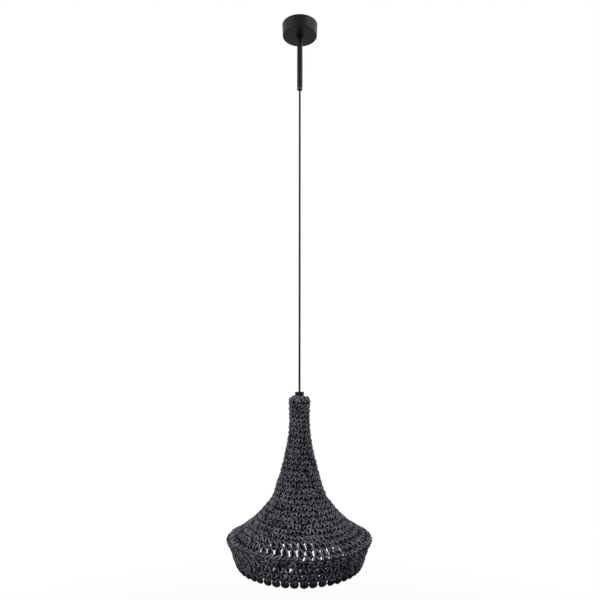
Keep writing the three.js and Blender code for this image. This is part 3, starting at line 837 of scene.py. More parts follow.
@dataclass(frozen=True)
class PlasticFinish:
    """Moulded plastic or wire insulation with a fine spark grain."""

    name: str
    colour: tuple
    roughness: float = 0.45
    tones: tuple = ((0.3, 0.88), (0.7, 1.1))
    patches: float = 45
    grain: float = 1800
    uneven: tuple = (-0.08, 0.1)
    grain_depth: float = 0.00003
    grain_strength: float = 0.4

    def material(self) -> bpy.types.Material:
        """Builds the nodes.

        Returns:
            The material.
        """
        n = Nodes(self.name)
        n.clouded(self.colour, self.tones, self.patches, Detail.SOFT)
        grain = n.noise(n.place(Coordinates.OBJECT), self.grain, Detail.SMOOTH)
        rough = [self.roughness + step for step in self.uneven]
        n.set(Roughness=n.spread(grain, (0, 1), rough))
        n.bump(grain, self.grain_depth, self.grain_strength)
        return n.material


@dataclass(frozen=True)
class OpalFinish:
    """Opal glass: milky through its wall, glossy outside, faintly cloudy."""

    name: str
    colour: tuple
    tones: tuple = ((0.3, 0.93), (0.7, 1.03))
    clouds: float = 60
    roughness: float = 0.16
    milk: float = 0.35
    milk_reach: tuple = (0.01, 0.01, 0.009)
    milk_scale: float = 0.4
    coat: float = 0.4
    coat_roughness: float = 0.08
    ripple: float = 0.00006
    ripple_strength: float = 0.2

    def material(self) -> bpy.types.Material:
        """Builds the nodes.

        Returns:
            The material.
        """
        n = Nodes(self.name)
        cloud = n.clouded(self.colour, self.tones, self.clouds, Detail.SOFT)
        n.set(Roughness=self.roughness, Coat_Weight=self.coat, Coat_Roughness=self.coat_roughness)
        n.set(Subsurface_Weight=self.milk, Subsurface_Scale=self.milk_scale)
        n.set(Subsurface_Radius=self.milk_reach)
        n.bump(cloud, self.ripple, self.ripple_strength)
        return n.material


Finish = PaintFinish | RopeFinish | BraidFinish | MetalFinish | PlasticFinish | OpalFinish

BLACK_PAINT = PaintFinish("black_paint", (19, 17, 18))
BLACK_PLASTIC = PlasticFinish("black_plastic", (30, 29, 30), 0.5)
ROPE = RopeFinish("charcoal_rope", (92, 91, 99))
CABLE_CLOTH = BraidFinish("cable_cloth", (52, 48, 46))
FRAME_WIRE = MetalFinish("frame_wire", (176, 177, 180), 0.42)
ZINC = MetalFinish("zinc_steel", (168, 171, 174), 0.36)
BRASS = MetalFinish("brass", (186, 148, 84), 0.32)
BLOCK_PLASTIC = PlasticFinish("block_plastic", (222, 219, 208), 0.5)
WHITE_PLASTIC = PlasticFinish("white_plastic", (232, 230, 224), 0.4)
OPAL = OpalFinish("opal_glass", (242, 240, 234))
WIRE_BROWN = PlasticFinish("wire_brown", (92, 58, 34), 0.4)
WIRE_BLUE = PlasticFinish("wire_blue", (40, 82, 146), 0.4)
WIRE_GREEN = PlasticFinish("wire_green", (112, 156, 54), 0.4)


@cache
def material_of(finish: Finish) -> bpy.types.Material:
    """The one material of a finish."""
    return finish.material()


# Sub-assemblies


@dataclass
class Assembly:
    """A group of pieces that ride on the frame's bodies."""

    pieces: list = field(default_factory=list, init=False)

    def keep(
        self, piece: bpy.types.Object, finish: Finish, body: str, nodes: tuple, slot: str = ""
    ) -> bpy.types.Object:
        """Dresses a new piece and fixes it to the frame.

        Args:
            piece: The mesh object.
            finish: What it is made of.
            body: The body that it rides on, or an empty string for one that is blended.
            nodes: The frame's nodes that it stands for.
            slot: The record's material slot, where it isn't named as the finish is.

        Returns:
            The same object.
        """
        piece.data.materials.append(material_of(finish))
        if body:
            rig.ride(piece, body)
        if nodes:
            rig.replaces(piece, *nodes)
        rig.slot(piece, slot or finish.name)
        self.pieces.append(piece)
        return piece

    def turned(self, name: str, outline: Array, sides: int, finish: Finish, body: str, node: str) -> None:
        """Makes a piece by turning an outline about the axis.

        Args:
            name: The piece's name.
            outline: Pairs of radius and height, as lathe takes them.
            sides: Points round the axis.
            finish: What it is made of.
            body: The body that it rides on.
            node: The frame's node that it stands for.
        """
        self.keep(mesh_object(name, lathe(outline, sides), TURNED_CREASE), finish, body, (node,))

    def dress_node(self, node: str, finish: Finish) -> None:
        """Gives one of the frame's own nodes its finish.

        Args:
            node: The node's name.
            finish: What it is made of.
        """
        piece = frame["nodes"][node]
        piece.data.materials.clear()
        piece.data.materials.append(material_of(finish))
        self.pieces.append(piece)

    def report(self) -> None:
        """Logs each piece with its faces."""
        for piece in self.pieces:
            log.info("%s: %s, %d faces", type(self).__name__, piece.name, len(piece.data.polygons))


@dataclass(frozen=True)
class SoftLamp:
    """A square lamp: its place and edge in metres, its power in watts, and the height that it faces."""

    name: str
    place: tuple
    size: float
    power: float
    aim: float


@dataclass
class Studio(Assembly):
    """Camera, lamps, pale floor and white surroundings, in metres and degrees."""

    lens: float = 31.8
    sensor: float = 36
    eye: tuple = (0.0013, -1.440, -0.990)
    pitch: float = 97.12
    roll: float = -0.05
    lamps: tuple = (
        SoftLamp("key_lamp", (-2.5, -1.6, 0.3), 1.5, 66, -0.95),
        SoftLamp("fill_lamp", (2.2, -1.3, 1.3), 1.6, 38, -0.95),
        SoftLamp("back_lamp", (0.6, 2.8, 0.8), 1.6, 14, -0.85),
        SoftLamp("left_panel", (-1.5, 0.5, 0.2), 0.6, 12, -0.02),
        SoftLamp("right_panel", (1.5, 0.5, 0.2), 0.6, 27, -0.02),
    )
    ambient: float = 0.12
    floor_height: float = -2.6
    floor_radius: float = 9
    floor_thickness: float = 0.02
    floor_sides: int = 96
    floor_patches: float = 1.2
    floor_tones: tuple = (0.8, 0.86)
    floor_roughness: float = 0.9
    # Distances over which the floor fades to white, and how white it starts
    fade: tuple = (2.7, 4.2)
    fade_start: float = 0.86

    def build(self) -> None:
        """Makes the camera at the photograph's place, the lamps, the floor and the world."""
        scene = bpy.context.scene
        own = set(frame["nodes"].values()) | set(frame["bodies"].values())
        for other in [o for o in bpy.data.objects if o not in own]:
            bpy.data.objects.remove(other)
        lens = bpy.data.cameras.new("photo_camera")
        lens.lens, lens.sensor_width = self.lens, self.sensor
        camera = bpy.data.objects.new("photo_camera", lens)
        camera.location = self.eye
        camera.rotation_euler = (math.radians(self.pitch), math.radians(self.roll), 0)
        scene.collection.objects.link(camera)
        scene.camera = camera
        scene.view_settings.view_transform = "Standard"
        for lamp in self.lamps:
            self.light(lamp)
        self.world()
        self.floor()

    def light(self, lamp: SoftLamp) -> None:
        """Makes a lamp and turns it to the height that it faces: atan2(run, rise) down, atan2(x, -y) round.

        Args:
            lamp: Its place, size, power and aim.
        """
        light = bpy.data.lights.new(lamp.name, "AREA")
        light.shape, light.size, light.energy = "SQUARE", lamp.size, lamp.power
        piece = bpy.data.objects.new(lamp.name, light)
        x, y, rise = np.array(lamp.place) - [0, 0, lamp.aim]
        piece.location = lamp.place
        piece.rotation_euler = (math.atan2(math.hypot(x, y), rise), 0, math.atan2(x, -y))
        bpy.context.scene.collection.objects.link(piece)

    def world(self) -> None:
        """Makes plain even surroundings, white to the camera, through glass and in reflections."""
        world = bpy.data.worlds.new("studio_world")
        bpy.context.scene.world = world
        world.use_nodes = True
        tree = world.node_tree
        tree.nodes.clear()
        kinds = ("OutputWorld", "Background", "LightPath")
        output, ground, path = (tree.nodes.new(f"ShaderNode{kind}") for kind in kinds)
        ground.inputs["Color"].default_value = (1, 1, 1, 1)
        level = None
        for ray in ("Is Camera Ray", "Is Transmission Ray", "Is Glossy Ray"):
            larger = tree.nodes.new("ShaderNodeMath")
            larger.operation = "MAXIMUM"
            tree.links.new(path.outputs[ray], larger.inputs[0])
            if level is None:
                larger.inputs[1].default_value = self.ambient
            else:
                tree.links.new(level, larger.inputs[1])
            level = larger.outputs[0]
        tree.links.new(level, ground.inputs["Strength"])
        tree.links.new(ground.outputs[0], output.inputs["Surface"])

    def floor(self) -> None:
        """Makes a pale round floor far below, which keeps a faint shadow and fades to white."""
        radius, top = self.floor_radius / MM, self.floor_height / MM
        foot = top - self.floor_thickness / MM
        outline = [[0, top], [radius, top], [radius, foot], [0, foot]]
        floor = mesh_object("floor", lathe(outline, self.floor_sides), TURNED_CREASE)
        n = Nodes("pale_floor")
        here = n.place(Coordinates.OBJECT)
        low, high = ((tone, tone, tone, 1) for tone in self.floor_tones)
        n.set(Base_Color=n.ramp(n.noise(here, self.floor_patches, Detail.SMOOTH), (0, low), (1, high)))
        n.set(Roughness=self.floor_roughness)
        glow = n.add("ShaderNodeEmission", {"Color": (1, 1, 1, 1), "Strength": 1})
        reach = n.add("ShaderNodeVectorMath", {0: here}, operation="LENGTH").outputs["Value"]
        fade = n.spread(reach, self.fade, (self.fade_start, 1))
        path = n.add("ShaderNodeLightPath").outputs
        shown = n.math("MAXIMUM", path["Is Camera Ray"], path["Is Transmission Ray"])
        seen = n.math("MULTIPLY", n.math("MAXIMUM", shown, path["Is Glossy Ray"]), fade)
        mix = n.add("ShaderNodeMixShader", {0: seen, 1: n.shader.outputs[0], 2: glow.outputs[0]})
        n.join(mix.outputs[0], n.output.inputs["Surface"])
        floor.data.materials.append(n.material)
        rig.stage(floor)
        self.pieces.append(floor)


@dataclass(frozen=True)
class Stretch:
    """One stretch of the cable, from a height down to another, and how it follows the frame.

    A free stretch has two bodies, the heights between which it is blended from one to the other, and the
    height where it leaves what holds it.
    """

    name: str
    top: float
    bottom: float
    nodes: tuple
    bodies: tuple
    bend: tuple = ()
    leaves: float | None = None


@dataclass
class CableRun(Assembly):
    """The textile cable: one run on the real lamp, in stretches between the places where it bends."""

    radius: float = 2.74
    sides: int = 20
    ring_step: float = 2.2
    stretches: tuple = (
        Stretch("cable_stem", -12.4, -185, ("cable_in_stem",), ("ceiling_mount",)),
        Stretch(
            "cable_stem_leaving", -185, -218, (), ("ceiling_mount", "cable_top"),
            bend=(-199.5, -217), leaves=-200.3,
        ),
        Stretch(
            "cable_stem_curve", -218, -252, ("cable_stem_bend",), ("cable_top", "cable"),
            bend=(-218.5, -247.5), leaves=-218,
        ),
        Stretch(
            "cable_hanging", -252, -1039.5, ("hanging_cable",), ("cable", "cable_end"),
            bend=(-300, -1025), leaves=-252,
        ),
        Stretch(
            "cable_cap_curve", -1039.5, -1073.5, ("cable_cap_bend",), ("cable_end", "shade"),
            bend=(-1040, -1057.5), leaves=-1039.5,
        ),
        Stretch("cable_neck", -1073.5, -1152.7, ("cable_in_neck",), ("shade",)),
    )

    def build(self) -> None:
        for run in self.stretches:
            count = math.ceil((run.top - run.bottom) / self.ring_step) + 1
            heights = np.linspace(run.top, run.bottom, count)
            path = np.stack([0 * heights, 0 * heights, heights], -1)
            piece = mesh_object(run.name, tube(path, self.radius, self.sides, start=-run.top), TUBE_CREASE)
            free = len(run.bodies) > 1
            self.keep(piece, CABLE_CLOTH, "" if free else run.bodies[0], run.nodes)
            if free:
                start, end = ((0, 0, height * MM) for height in run.bend)
                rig.blend(piece, *run.bodies, start, end)
                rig.cord(
                    piece,
                    exit=(0, 0, run.leaves * MM),
                    length=(run.top - run.bottom) * MM,
                    diameter=2 * self.radius * MM,
                    far_end="object",
                    stiffness="medium",
                    lay="hanging",
                    path=path * MM,
                )


@dataclass
class Canopy(Assembly):
    """Round ceiling cup with its collar and set screw, free to slide down the stem."""

    radius: float = 50
    flare: float = 1.6
    top: float = -0.3
    height: float = 35
    wall: float = 1.2
    edge: float = 2
    # Length of wall and foot that keeps them flat beside the rounded edge, and how far the rim is broken
    edge_guard: float = 0.6
    rim_break: float = 0.3
    # Steps of the rounded edge outside and inside
    edge_steps: tuple = (8, 4)
    bore: float = 8.4
    collar_radius: float = 11
    collar_height: float = 4.5
    collar_chamfer: float = 0.9
    collar_break: float = 0.3
    gap: float = 0.3
    sides: int = 128
    collar_sides: int = 64

    def build(self) -> None:
        """Turns the cup and the collar."""
        foot = self.top - self.height
        inside = self.radius - self.wall
        centre = (self.radius - self.edge, foot + self.edge)
        rim, rim_inside = self.radius + self.flare, inside + self.flare
        under_rim = self.top - self.rim_break
        cup = np.concatenate([
            [[self.bore, foot], [centre[0] - self.edge_guard, foot]],
            quarter(centre, self.edge, -90, 0, self.edge_steps[0]),
            [[self.radius, centre[1] + self.edge_guard]],
            [[rim, under_rim], [rim - self.rim_break, self.top]],
            [[rim_inside + self.rim_break, self.top], [rim_inside, under_rim]],
            quarter(centre, self.edge - self.wall, 0, -90, self.edge_steps[1]),
            [[self.bore, foot + self.wall]],
        ])
        self.turned("canopy_shell", cup, self.sides, BLACK_PAINT, "canopy", "canopy_cup")
        top = foot - self.gap
        low = top - self.collar_height
        collar = softened([
            [self.bore, low, self.collar_break],
            [self.collar_radius, low, self.collar_chamfer],
            [self.collar_radius, top, self.collar_break],
            [self.bore, top, self.collar_break],
        ])
        self.turned("canopy_ring", collar, self.collar_sides, BLACK_PAINT, "canopy", "canopy_collar")
        self.dress_node("collar_grub_screw", ZINC)


@dataclass
class StemTube(Assembly):
    """Rigid black tube that hangs from the yoke, and the bush in its end that the cable leaves through."""

    radius: float = 8
    bore: float = 6.5
    thread_bore: float = 5.15
    thread_depth: float = 20
    thread_runout: float = 1.4
    top: float = -30
    tube_end: float = -195
    edge_break: float = 0.35
    edge_steps: int = 3
    end: float = -200.3
    spigot: float = 14
    cable_bore: float = 3
    mouth: float = 5
    gap: float = 0.3
    sides: int = 64

    def build(self) -> None:
        """Turns the tube and the bush, whose corners each have an ease of their own."""
        thread_end = self.top - self.thread_depth
        outline = [
            [self.bore, self.tube_end],
            [self.radius, self.tube_end],
            [self.radius, self.top],
            [self.thread_bore, self.top],
            [self.thread_bore, thread_end],
            [self.bore, thread_end - self.thread_runout],
        ]
        outline = softened([[*point, self.edge_break] for point in outline], self.edge_steps)
        self.turned("stem_barrel", outline, self.sides, BLACK_PAINT, "ceiling_mount", "stem_tube")
        flange = self.tube_end - self.gap
        fit = self.bore - self.gap
        top = flange + self.spigot
        bush = [
            [self.mouth, self.end, 0.5],
            [self.radius, self.end, 1.1],
            [self.radius, flange, 0.25],
            [fit, flange, 0.2],
            [fit, top, 0.3],
            [self.cable_bore, top, 0.3],
            [self.cable_bore, self.end + self.mouth - self.cable_bore, 1.2],
        ]
        self.turned("stem_bush", softened(bush), self.sides, BLACK_PLASTIC, "ceiling_mount", "stem_end_bush")


@dataclass
class CeilingFixings(Assembly):
    """Strap, yoke, threaded nipple, nut, washer, cord grip, terminal block and the three wires."""

    def build(self) -> None:
        """Dresses the frame's own nodes."""
        for node in ("ceiling_strap", "hanger_yoke", "stem_nipple", "stem_nut", "stem_washer"):
            self.dress_node(node, ZINC)
        self.dress_node("ceiling_cord_grip", BLACK_PLASTIC)
        self.dress_node("terminal_block", BLOCK_PLASTIC)
        self.dress_node("live_wire", WIRE_BROWN)
        self.dress_node("neutral_wire", WIRE_BLUE)
        self.dress_node("earth_wire", WIRE_GREEN)


@dataclass
class CapAndHolder(Assembly):
    """Cable cap, hanging tube, cup nut, black sleeve and lampholder."""

    cap_radius: float = 12
    cap_top: float = -1058
    cap_foot: float = -1083
    cap_wall: float = 1.4
    cap_bore: float = 3.2
    sleeve_radius: float = 15.6
    sleeve_wall: float = 0.8
    sleeve_top: float = -1083.3
    sleeve_foot: float = -1199.3
    sleeve_shoulder: float = 5
    # How far the sleeve's rolled foot turns in, and how high
    roll: tuple = (0.25, 0.2)
    # Steps of the shoulder outside and inside
    shoulder_steps: tuple = (8, 6)
    thread_bore: float = 5.15
    holder_radius: float = 14.2
    holder_well: float = 10.8
    holder_mouth: float = -1197.3
    holder_top: float = -1145.3
    holder_boss: float = 7.4
    holder_boss_height: float = 9
    holder_floor: float = -1158.3
    holder_shoulder: float = 4
    well_chamfer: float = 0.4
    mouth_chamfer: float = 0.6
    sides: int = 72
    holder_sides: int = 64

    def build(self) -> None:
        """Turns the cap, the sleeve and the holder, and dresses what they hide."""
        inside = self.cap_radius - self.cap_wall
        ceiling = self.cap_top - self.cap_wall
        cap = [
            [inside, self.cap_foot, 0.3],
            [self.cap_radius, self.cap_foot, 0.4],
            [self.cap_radius, self.cap_top, 1.2],
            [self.cap_bore, self.cap_top, 0.4],
            [self.cap_bore, ceiling, 0.2],
            [inside, ceiling, 0.4],
        ]
        self.turned("cap_shell", softened(cap), self.sides, BLACK_PAINT, "shade", "cable_cap")
        self.build_sleeve()
        self.build_holder()
        for node in ("hanging_tube", "sleeve_nut", "cap_grub_screw"):
            self.dress_node(node, ZINC)
        self.dress_node("inner_cord_grip", BLACK_PLASTIC)
        for node in ("lampholder_screw_shell", "lampholder_contact"):
            self.dress_node(node, BRASS)

    def build_sleeve(self) -> None:
        """Turns the sleeve, with a rolled lower edge."""
        outside, top, foot = self.sleeve_radius, self.sleeve_top, self.sleeve_foot
        inside = outside - self.sleeve_wall
        centre = (outside - self.sleeve_shoulder, top - self.sleeve_shoulder)
        turn_in, rise = self.roll
        outline = np.concatenate([
            [[inside, foot + rise], [inside + turn_in, foot]],
            [[outside - turn_in, foot], [outside, foot + rise]],
            quarter(centre, self.sleeve_shoulder, 0, 90, self.shoulder_steps[0]),
            [[self.thread_bore, top], [self.thread_bore, top - self.sleeve_wall]],
            quarter(centre, self.sleeve_shoulder - self.sleeve_wall, 90, 0, self.shoulder_steps[1]),
        ])
        self.turned("sleeve_shell", outline, self.sides, BLACK_PAINT, "shade", "holder_sleeve")

    def build_holder(self) -> None:
        """Turns the lampholder's body about its well and boss."""
        outside, well, mouth = self.holder_radius, self.holder_well, self.holder_mouth
        boss, top = self.holder_boss, self.holder_top
        foot = top - self.holder_boss_height
        centre = (outside - self.holder_shoulder, foot - self.holder_shoulder)
        outline = np.concatenate([
            [[0, self.holder_floor], [well, self.holder_floor], [well, mouth + self.well_chamfer]],
            [[well + self.well_chamfer, mouth], [outside - self.mouth_chamfer, mouth]],
            [[outside, mouth + self.mouth_chamfer]],
            quarter(centre, self.holder_shoulder, 0, 90, self.shoulder_steps[1]),
            [[boss, foot], [boss, top], [self.thread_bore, top], [self.thread_bore, foot], [0, foot]],
        ])
        self.turned("holder_body", outline, self.holder_sides, BLACK_PLASTIC, "shade", "lampholder_body")


@dataclass
class GlobeBulb(Assembly):
    """Small opal globe lamp with its white collar, screw base and tip."""

    globe_radius: float = 22.5
    globe_wall: float = 0.9
    globe_neck: float = 10
    bottom: float = -1256
    collar_top: float = -1197.9
    collar_length: float = 14
    collar_radius: float = 11.5
    collar_rim: float = 4.7
    base_radius: float = 7
    gap: float = 0.3
    # Steps of the globe's round outside and inside
    globe_steps: tuple = (40, 24)
    sides: int = 72
    collar_sides: int = 64

    def build(self) -> None:
        """Turns the globe, whose walls end at its neck, asin(neck / radius) from the top, and the collar."""
        centre = (0, self.bottom + self.globe_radius)
        foot = self.collar_top - self.collar_length
        top = foot - self.gap
        inner, inner_neck = self.globe_radius - self.globe_wall, self.globe_neck - self.globe_wall
        stop = 90 - math.degrees(math.asin(self.globe_neck / self.globe_radius))
        inner_stop = 90 - math.degrees(math.asin(inner_neck / inner))
        outline = np.concatenate([
            quarter(centre, self.globe_radius, -90, stop, self.globe_steps[0]),
            [[self.globe_neck, top], [inner_neck, top]],
            quarter(centre, inner, inner_stop, -90, self.globe_steps[1]),
        ])
        outline[[0, -1], 0] = 0
        self.turned("globe_glass", outline, self.sides, OPAL, "bulb", "bulb_globe")
        collar = [
            [0, foot, 0],
            [self.collar_radius, foot, 0.8],
            [self.collar_radius, foot + self.collar_rim, 1.5],
            [self.base_radius + self.gap, self.collar_top, 0.6],
            [0, self.collar_top, 0],
        ]
        self.turned("bulb_skirt", softened(collar), self.collar_sides, WHITE_PLASTIC, "bulb", "bulb_collar")
        self.dress_node("bulb_screw_base", ZINC)
        self.dress_node("bulb_tip_contact", BRASS)


@dataclass(frozen=True)
class Bend:
    """A Bezier curve of radius and height, through its end points, led by the ones between."""

    points: tuple

    def sampled(self, count: int) -> Array:
        """Points at even steps of t: the sum of binomial * t^k (1-t)^(n-k) * point k.

        Args:
            count: Number of points.

        Returns:
            Rows of radius and height.
        """
        t = np.linspace(0, 1, count)[:, None]
        order = len(self.points) - 1
        shares = (math.comb(order, k) * t**k * (1 - t) ** (order - k) for k in range(order + 1))
        return sum(share * np.array(point) for share, point in zip(shares, self.points))


def leading(radius: float, height: float, slope: float, pull: float) -> tuple:
    """A point moved along a slope, in degrees from straight down."""
    angle = math.radians(slope)
    return radius + pull * math.sin(angle), height - pull * math.cos(angle)


def led(start: tuple, first_lead: tuple, end: tuple, last_lead: tuple) -> Bend:
    """A curve from one point to another, with a slope and a pull at each."""
    return Bend((start, leading(*start, *first_lead), leading(*end, *last_lead), end))


class Zone(Enum):
    """The stretches of the cover, from the top down, each with its count of rounds."""

    SHOULDER = 1.5
    NECK = 6
    CONE = 13
    FLARE = 9.2
    BAND = 3.3


@dataclass
class Silhouette:
    """The cover's outline in radius and height, in one table from the mouth at the top to the band's foot."""

    top: float = -1074
    mouth: float = 15
    # Radius and drop from the top, for the neck with the radius halfway down it first
    shoulder: tuple = (26.6, 9)
    neck: tuple = (24.4, 26.6, 83)
    # A lead is a slope, in degrees from straight down, and a pull; other points are a radius and a height
    neck_lead: tuple = (4.2, 50.7)
    waist: tuple = (69.9, -1330)
    waist_leads: tuple = ((22.5, -35), (36.3, 77.7))
    lip: tuple = (185.5, -1426)
    lip_leads: tuple = ((66.5, -15.5), (66.5, 5))
    band_top: tuple = (177, -1447)
    band_lead: tuple = (-19, -11)
    foot: tuple = (166, -1478.5)
    # Rounds whose lines lie off the even spacing of their zone, and where, as lengths along the outline
    uneven: tuple = ((26, 351.5), (27, 366.5), (28, 386), (29, 408.6))
    samples: int = 400

    def __post_init__(self) -> None:
        """Samples the stretches and measures them."""
        wide, low = self.shoulder
        start, end = (wide, self.top - low), (self.neck[1], self.top - self.neck[2])
        bends = [
            Bend(((self.mouth, self.top), (wide, self.top), start)),
            Bend((start, (self.neck[0], (start[1] + end[1]) / 2), end)),
            led(end, self.neck_lead, self.waist, self.waist_leads[0]),
            led(self.waist, self.waist_leads[1], self.lip, self.lip_leads[0]),
            led(self.lip, self.lip_leads[1], self.band_top, self.band_lead),
            Bend((self.band_top, self.foot)),
        ]
        runs = [bend.sampled(self.samples) for bend in bends]
        lengths = [np.linalg.norm(np.diff(run, axis=0), axis=1).sum() for run in runs]
        self.line = np.concatenate([runs[0]] + [run[1:] for run in runs[1:]])
        step = np.linalg.norm(np.diff(self.line, axis=0), axis=1)
        self.along = np.concatenate([[0], np.cumsum(step)])
        tangent = unit(np.gradient(self.line, axis=0))
        self.normal = np.stack([-tangent[:, 1], tangent[:, 0]], -1)
        # The turn under the lip belongs to the band
        self.zone_ends = np.concatenate([[0], np.cumsum(lengths)[[0, 1, 2, 3, 5]]])
        self.zone_rounds = np.concatenate([[0], np.cumsum([zone.value for zone in Zone])])
        marks = np.concatenate([np.stack([self.zone_rounds, self.zone_ends], -1), self.uneven])
        self.round_table = marks[np.argsort(marks[:, 0])].T

    def read(self, values: Array, along: Array) -> Array:
        """Pairs of values, straight between the outline's points, at lengths along it."""
        return np.stack([np.interp(along, self.along, values[:, i]) for i in (0, 1)], -1)

    def at(self, along: Array, depth: Array | float) -> Array:
        """Radius and height at a length along the outline, moved in by a depth square to it."""
        inward = unit(self.read(self.normal, along)) * np.asarray(depth)[..., None]
        return self.read(self.line, along) - inward

    def of_round(self, number: Array) -> Array:
        """Length along the outline of a round's line, in straight stretches between the table's rounds."""
        return np.interp(number, *self.round_table)


def smoothed(rows: Array) -> Array:
    """The cubic spline through a row of control points, at the points: (before + 4 point + after) / 6."""
    before, after = np.concatenate([rows[:1], rows[:-1]]), np.concatenate([rows[1:], rows[-1:]])
    return (before + 4 * rows + after) / 6


def buried(shell: Shell, path: Array, depth: Array, outward: Array) -> Array:
    """How deep each point of a rope lies: its middle line's depth less its own step outwards, as a share.

    Args:
        shell: The rope's surface, whose first points are the rings round the path.
        path: The points of the middle line.
        depth: How deep each of them lies under the cover's outline.
        outward: The outline's direction outwards at each of them.

    Returns:
        One value for each point of the surface, from 0 outside to 1 at the inner face, which sets its painted shade.
    """
    rings = shell.points.reshape(-1, 3)
    sides = len(rings) // len(path)
    step = rings[: len(path) * sides].reshape(len(path), sides, 3) - path[:, None]
    own = depth[:, None] - (step * outward[:, None]).sum(-1)
    ends = np.full(len(rings) - own.size, own.mean())
    return np.clip((np.concatenate([own.ravel(), ends]) + OUTERMOST) / COVER_DEPTH, 0, 1)


def ripple(terms: tuple, angle: Array, level: Array) -> Array:
    """A sum of waves over the cover, sin(m angle + k level) for each term m, k."""
    return sum(np.sin(m * angle + k * level) for m, k in terms)


@dataclass
class CrochetCover(Assembly):
    """The shade's cover: one rope, in a spiral of single crochet from the mouth to the foot of the band."""

    outline: Silhouette = field(default_factory=Silhouette)
    rope: float = 2.3
    sides: int = 6
    # Where the spiral starts round the axis, where its first and last stitches are, and the step of its sums
    start: float = 0.75
    first_turn: float = 0.45
    last_turn: float = 0.6
    angle_step: float = 0.004
    # Depth of the line along which stitches are counted
    count_depth: float = 3.0
    # Radius and the width of a stitch there, then the width in the band
    widths: tuple = (
        (15, 11), (26, 12.2), (70, 13.6), (90, 14.4), (130, 15.8), (150, 17.2), (165, 18.8), (185, 20.5),
    )
    band_width: float = 20.5
    # How far ahead of its own place a stitch's foot goes, in stitch widths by round, and the share held back
    slants: tuple = ((26.5, 0.31), (26.6, -0.42), (29.4, -0.42), (29.5, 0.31), (34.5, 0.31))
    lean: float = 0.15
    # One stitch: across in stitch widths and in millimetres, down in rounds from the chain above, and depth
    stitch: tuple = (
        (-0.44, 0, 0.86, 7.6), (-0.06, 0, 0.66, 8.0), (0.02, 0, 0.24, 7.8), (0, -1.4, -0.22, 5.6),
        (0, -1.4, 0.00, 2.4), (-0.14, -1.2, 0.24, 0.6), (-0.34, -0.8, 0.48, 0.7), (-0.38, -0.4, 0.74, 3.2),
        (-0.20, 0, 0.94, 6.6), (0.20, 0, 0.94, 6.6), (0.38, 0.4, 0.76, 2.8), (0.34, 0.8, 0.50, 0.1),
        (0.14, 1.2, 0.26, 0.0), (0, 1.4, 0.00, 2.0), (0, 1.4, -0.22, 5.6), (0.36, 0, 0.02, 7.8),
        (0.52, 0, 0.34, 8.0), (0.34, 0, 0.80, 7.8), (0.04, 0, 1.06, 6.8), (-0.16, 0, 0.98, 3.6),
        (0.00, 0, 0.85, 1.4), (0.30, 0, 0.95, 1.0), (0.62, 0, 1.00, 2.2), (0.90, 0, 0.98, 4.6),
        (0.84, 0, 1.04, 7.6),
    )
    # In open rounds the stitch draws together: number of the point and widths across
    drawn: tuple = (
        (0, -0.30), (1, -0.16), (2, -0.08), (5, -0.15), (6, -0.27), (7, -0.32), (8, -0.12), (9, 0.12),
        (10, 0.32), (11, 0.27), (12, 0.15), (15, 0.04), (16, 0.12), (17, 0.16),
    )
    # How open the work is, by round
    openness: tuple = ((26.45, 0), (26.55, 1), (29.4, 1), (29.5, 0.3), (32.5, 0.3), (33.5, 0.1))
    # Chance: each stitch's stray in width, place, step aside and depth. Open rounds are calmer by a share,
    # and so is the band, from a little above it
    seed: int = 7
    width_stray: float = 0.1
    stray: float = 0.1
    aside_stray: float = 0.12
    depth_stray: float = 0.6
    calm: float = 0.6
    calm_lead: float = 0.2
    # Points further across than this lie on the way to the next stitch and don't stray
    stitch_reach: float = 0.5
    # Waves over the whole cover, in height (rounds) and in depth
    wave: float = 0.045
    wave_terms: tuple = ((7, 2.9), (11, -4.7))
    puff: float = 0.6
    puff_terms: tuple = ((5, -2.3), (9, 5.1))
    # Radius of the sleeve's room in the neck, the run over which the depth grows past it, its least share,
    # and its share in the shoulder
    sleeve_room: float = 18.3
    squeeze_run: float = 6
    squeeze_least: float = 0.35
    shoulder_squeeze: float = 0.6
    # The furthest out that a strand's middle may lie, the rise of the first rounds, and how much fuller the
    # cover is above the open rounds
    outermost: float = -0.8
    lift: float = 3.5
    lift_rounds: float = 1.3
    fullness: float = 1.3
    full_rounds: tuple = (22.5, 25.5)
    # A step aside turns at least this far out
    least_radius: float = 12
    # Deep strands are thicker by a share of the rope, in the band and in open rounds, growing between two
    # depths
    swell: float = 1.0
    open_swell: float = 0.5
    swell_depths: tuple = (5, 7)

    def build(self) -> None:
        """Lays the rope's path and makes one tube for each zone."""
        path, depth, outward, rounds = self.path()
        count = len(self.stitch)
        edges = [-math.inf, *self.outline.zone_rounds[2:5], math.inf]
        step = np.linalg.norm(np.diff(path, axis=0), axis=1)
        length = np.concatenate([[0], np.cumsum(step)])
        open_work = np.repeat(self.opened(rounds), count)
        shallow, deep = self.swell_depths
        for zone, low, high in zip(("neck", "cone", "flare", "band"), edges[:-1], edges[1:]):
            mine = np.flatnonzero((rounds >= low) & (rounds < high))
            part = slice(mine[0] * count, min((mine[-1] + 1) * count + 1, len(path)))
            swell = np.where(zone == "band", self.swell, self.open_swell * open_work[part])
            extra = self.rope * swell * np.clip((depth[part] - shallow) / (deep - shallow), 0, 1)
            line = path[part] + outward[part] * extra[:, None]
            shell = tube(line, self.rope + extra, self.sides, start=length[part][0])
            # The depth share sets the rope's painted shade; the swelling leaves it as it is
            shell.depth = buried(shell, line, depth[part] - extra, outward[part])
            piece = mesh_object(f"rope_{zone}", shell, None)
            self.keep(piece, ROPE, "shade", (f"crochet_{zone}",), "rope")

    def opened(self, rounds: Array) -> Array:
        """How open the work is at numbers of rounds."""
        return np.interp(rounds, *np.array(self.openness).T)

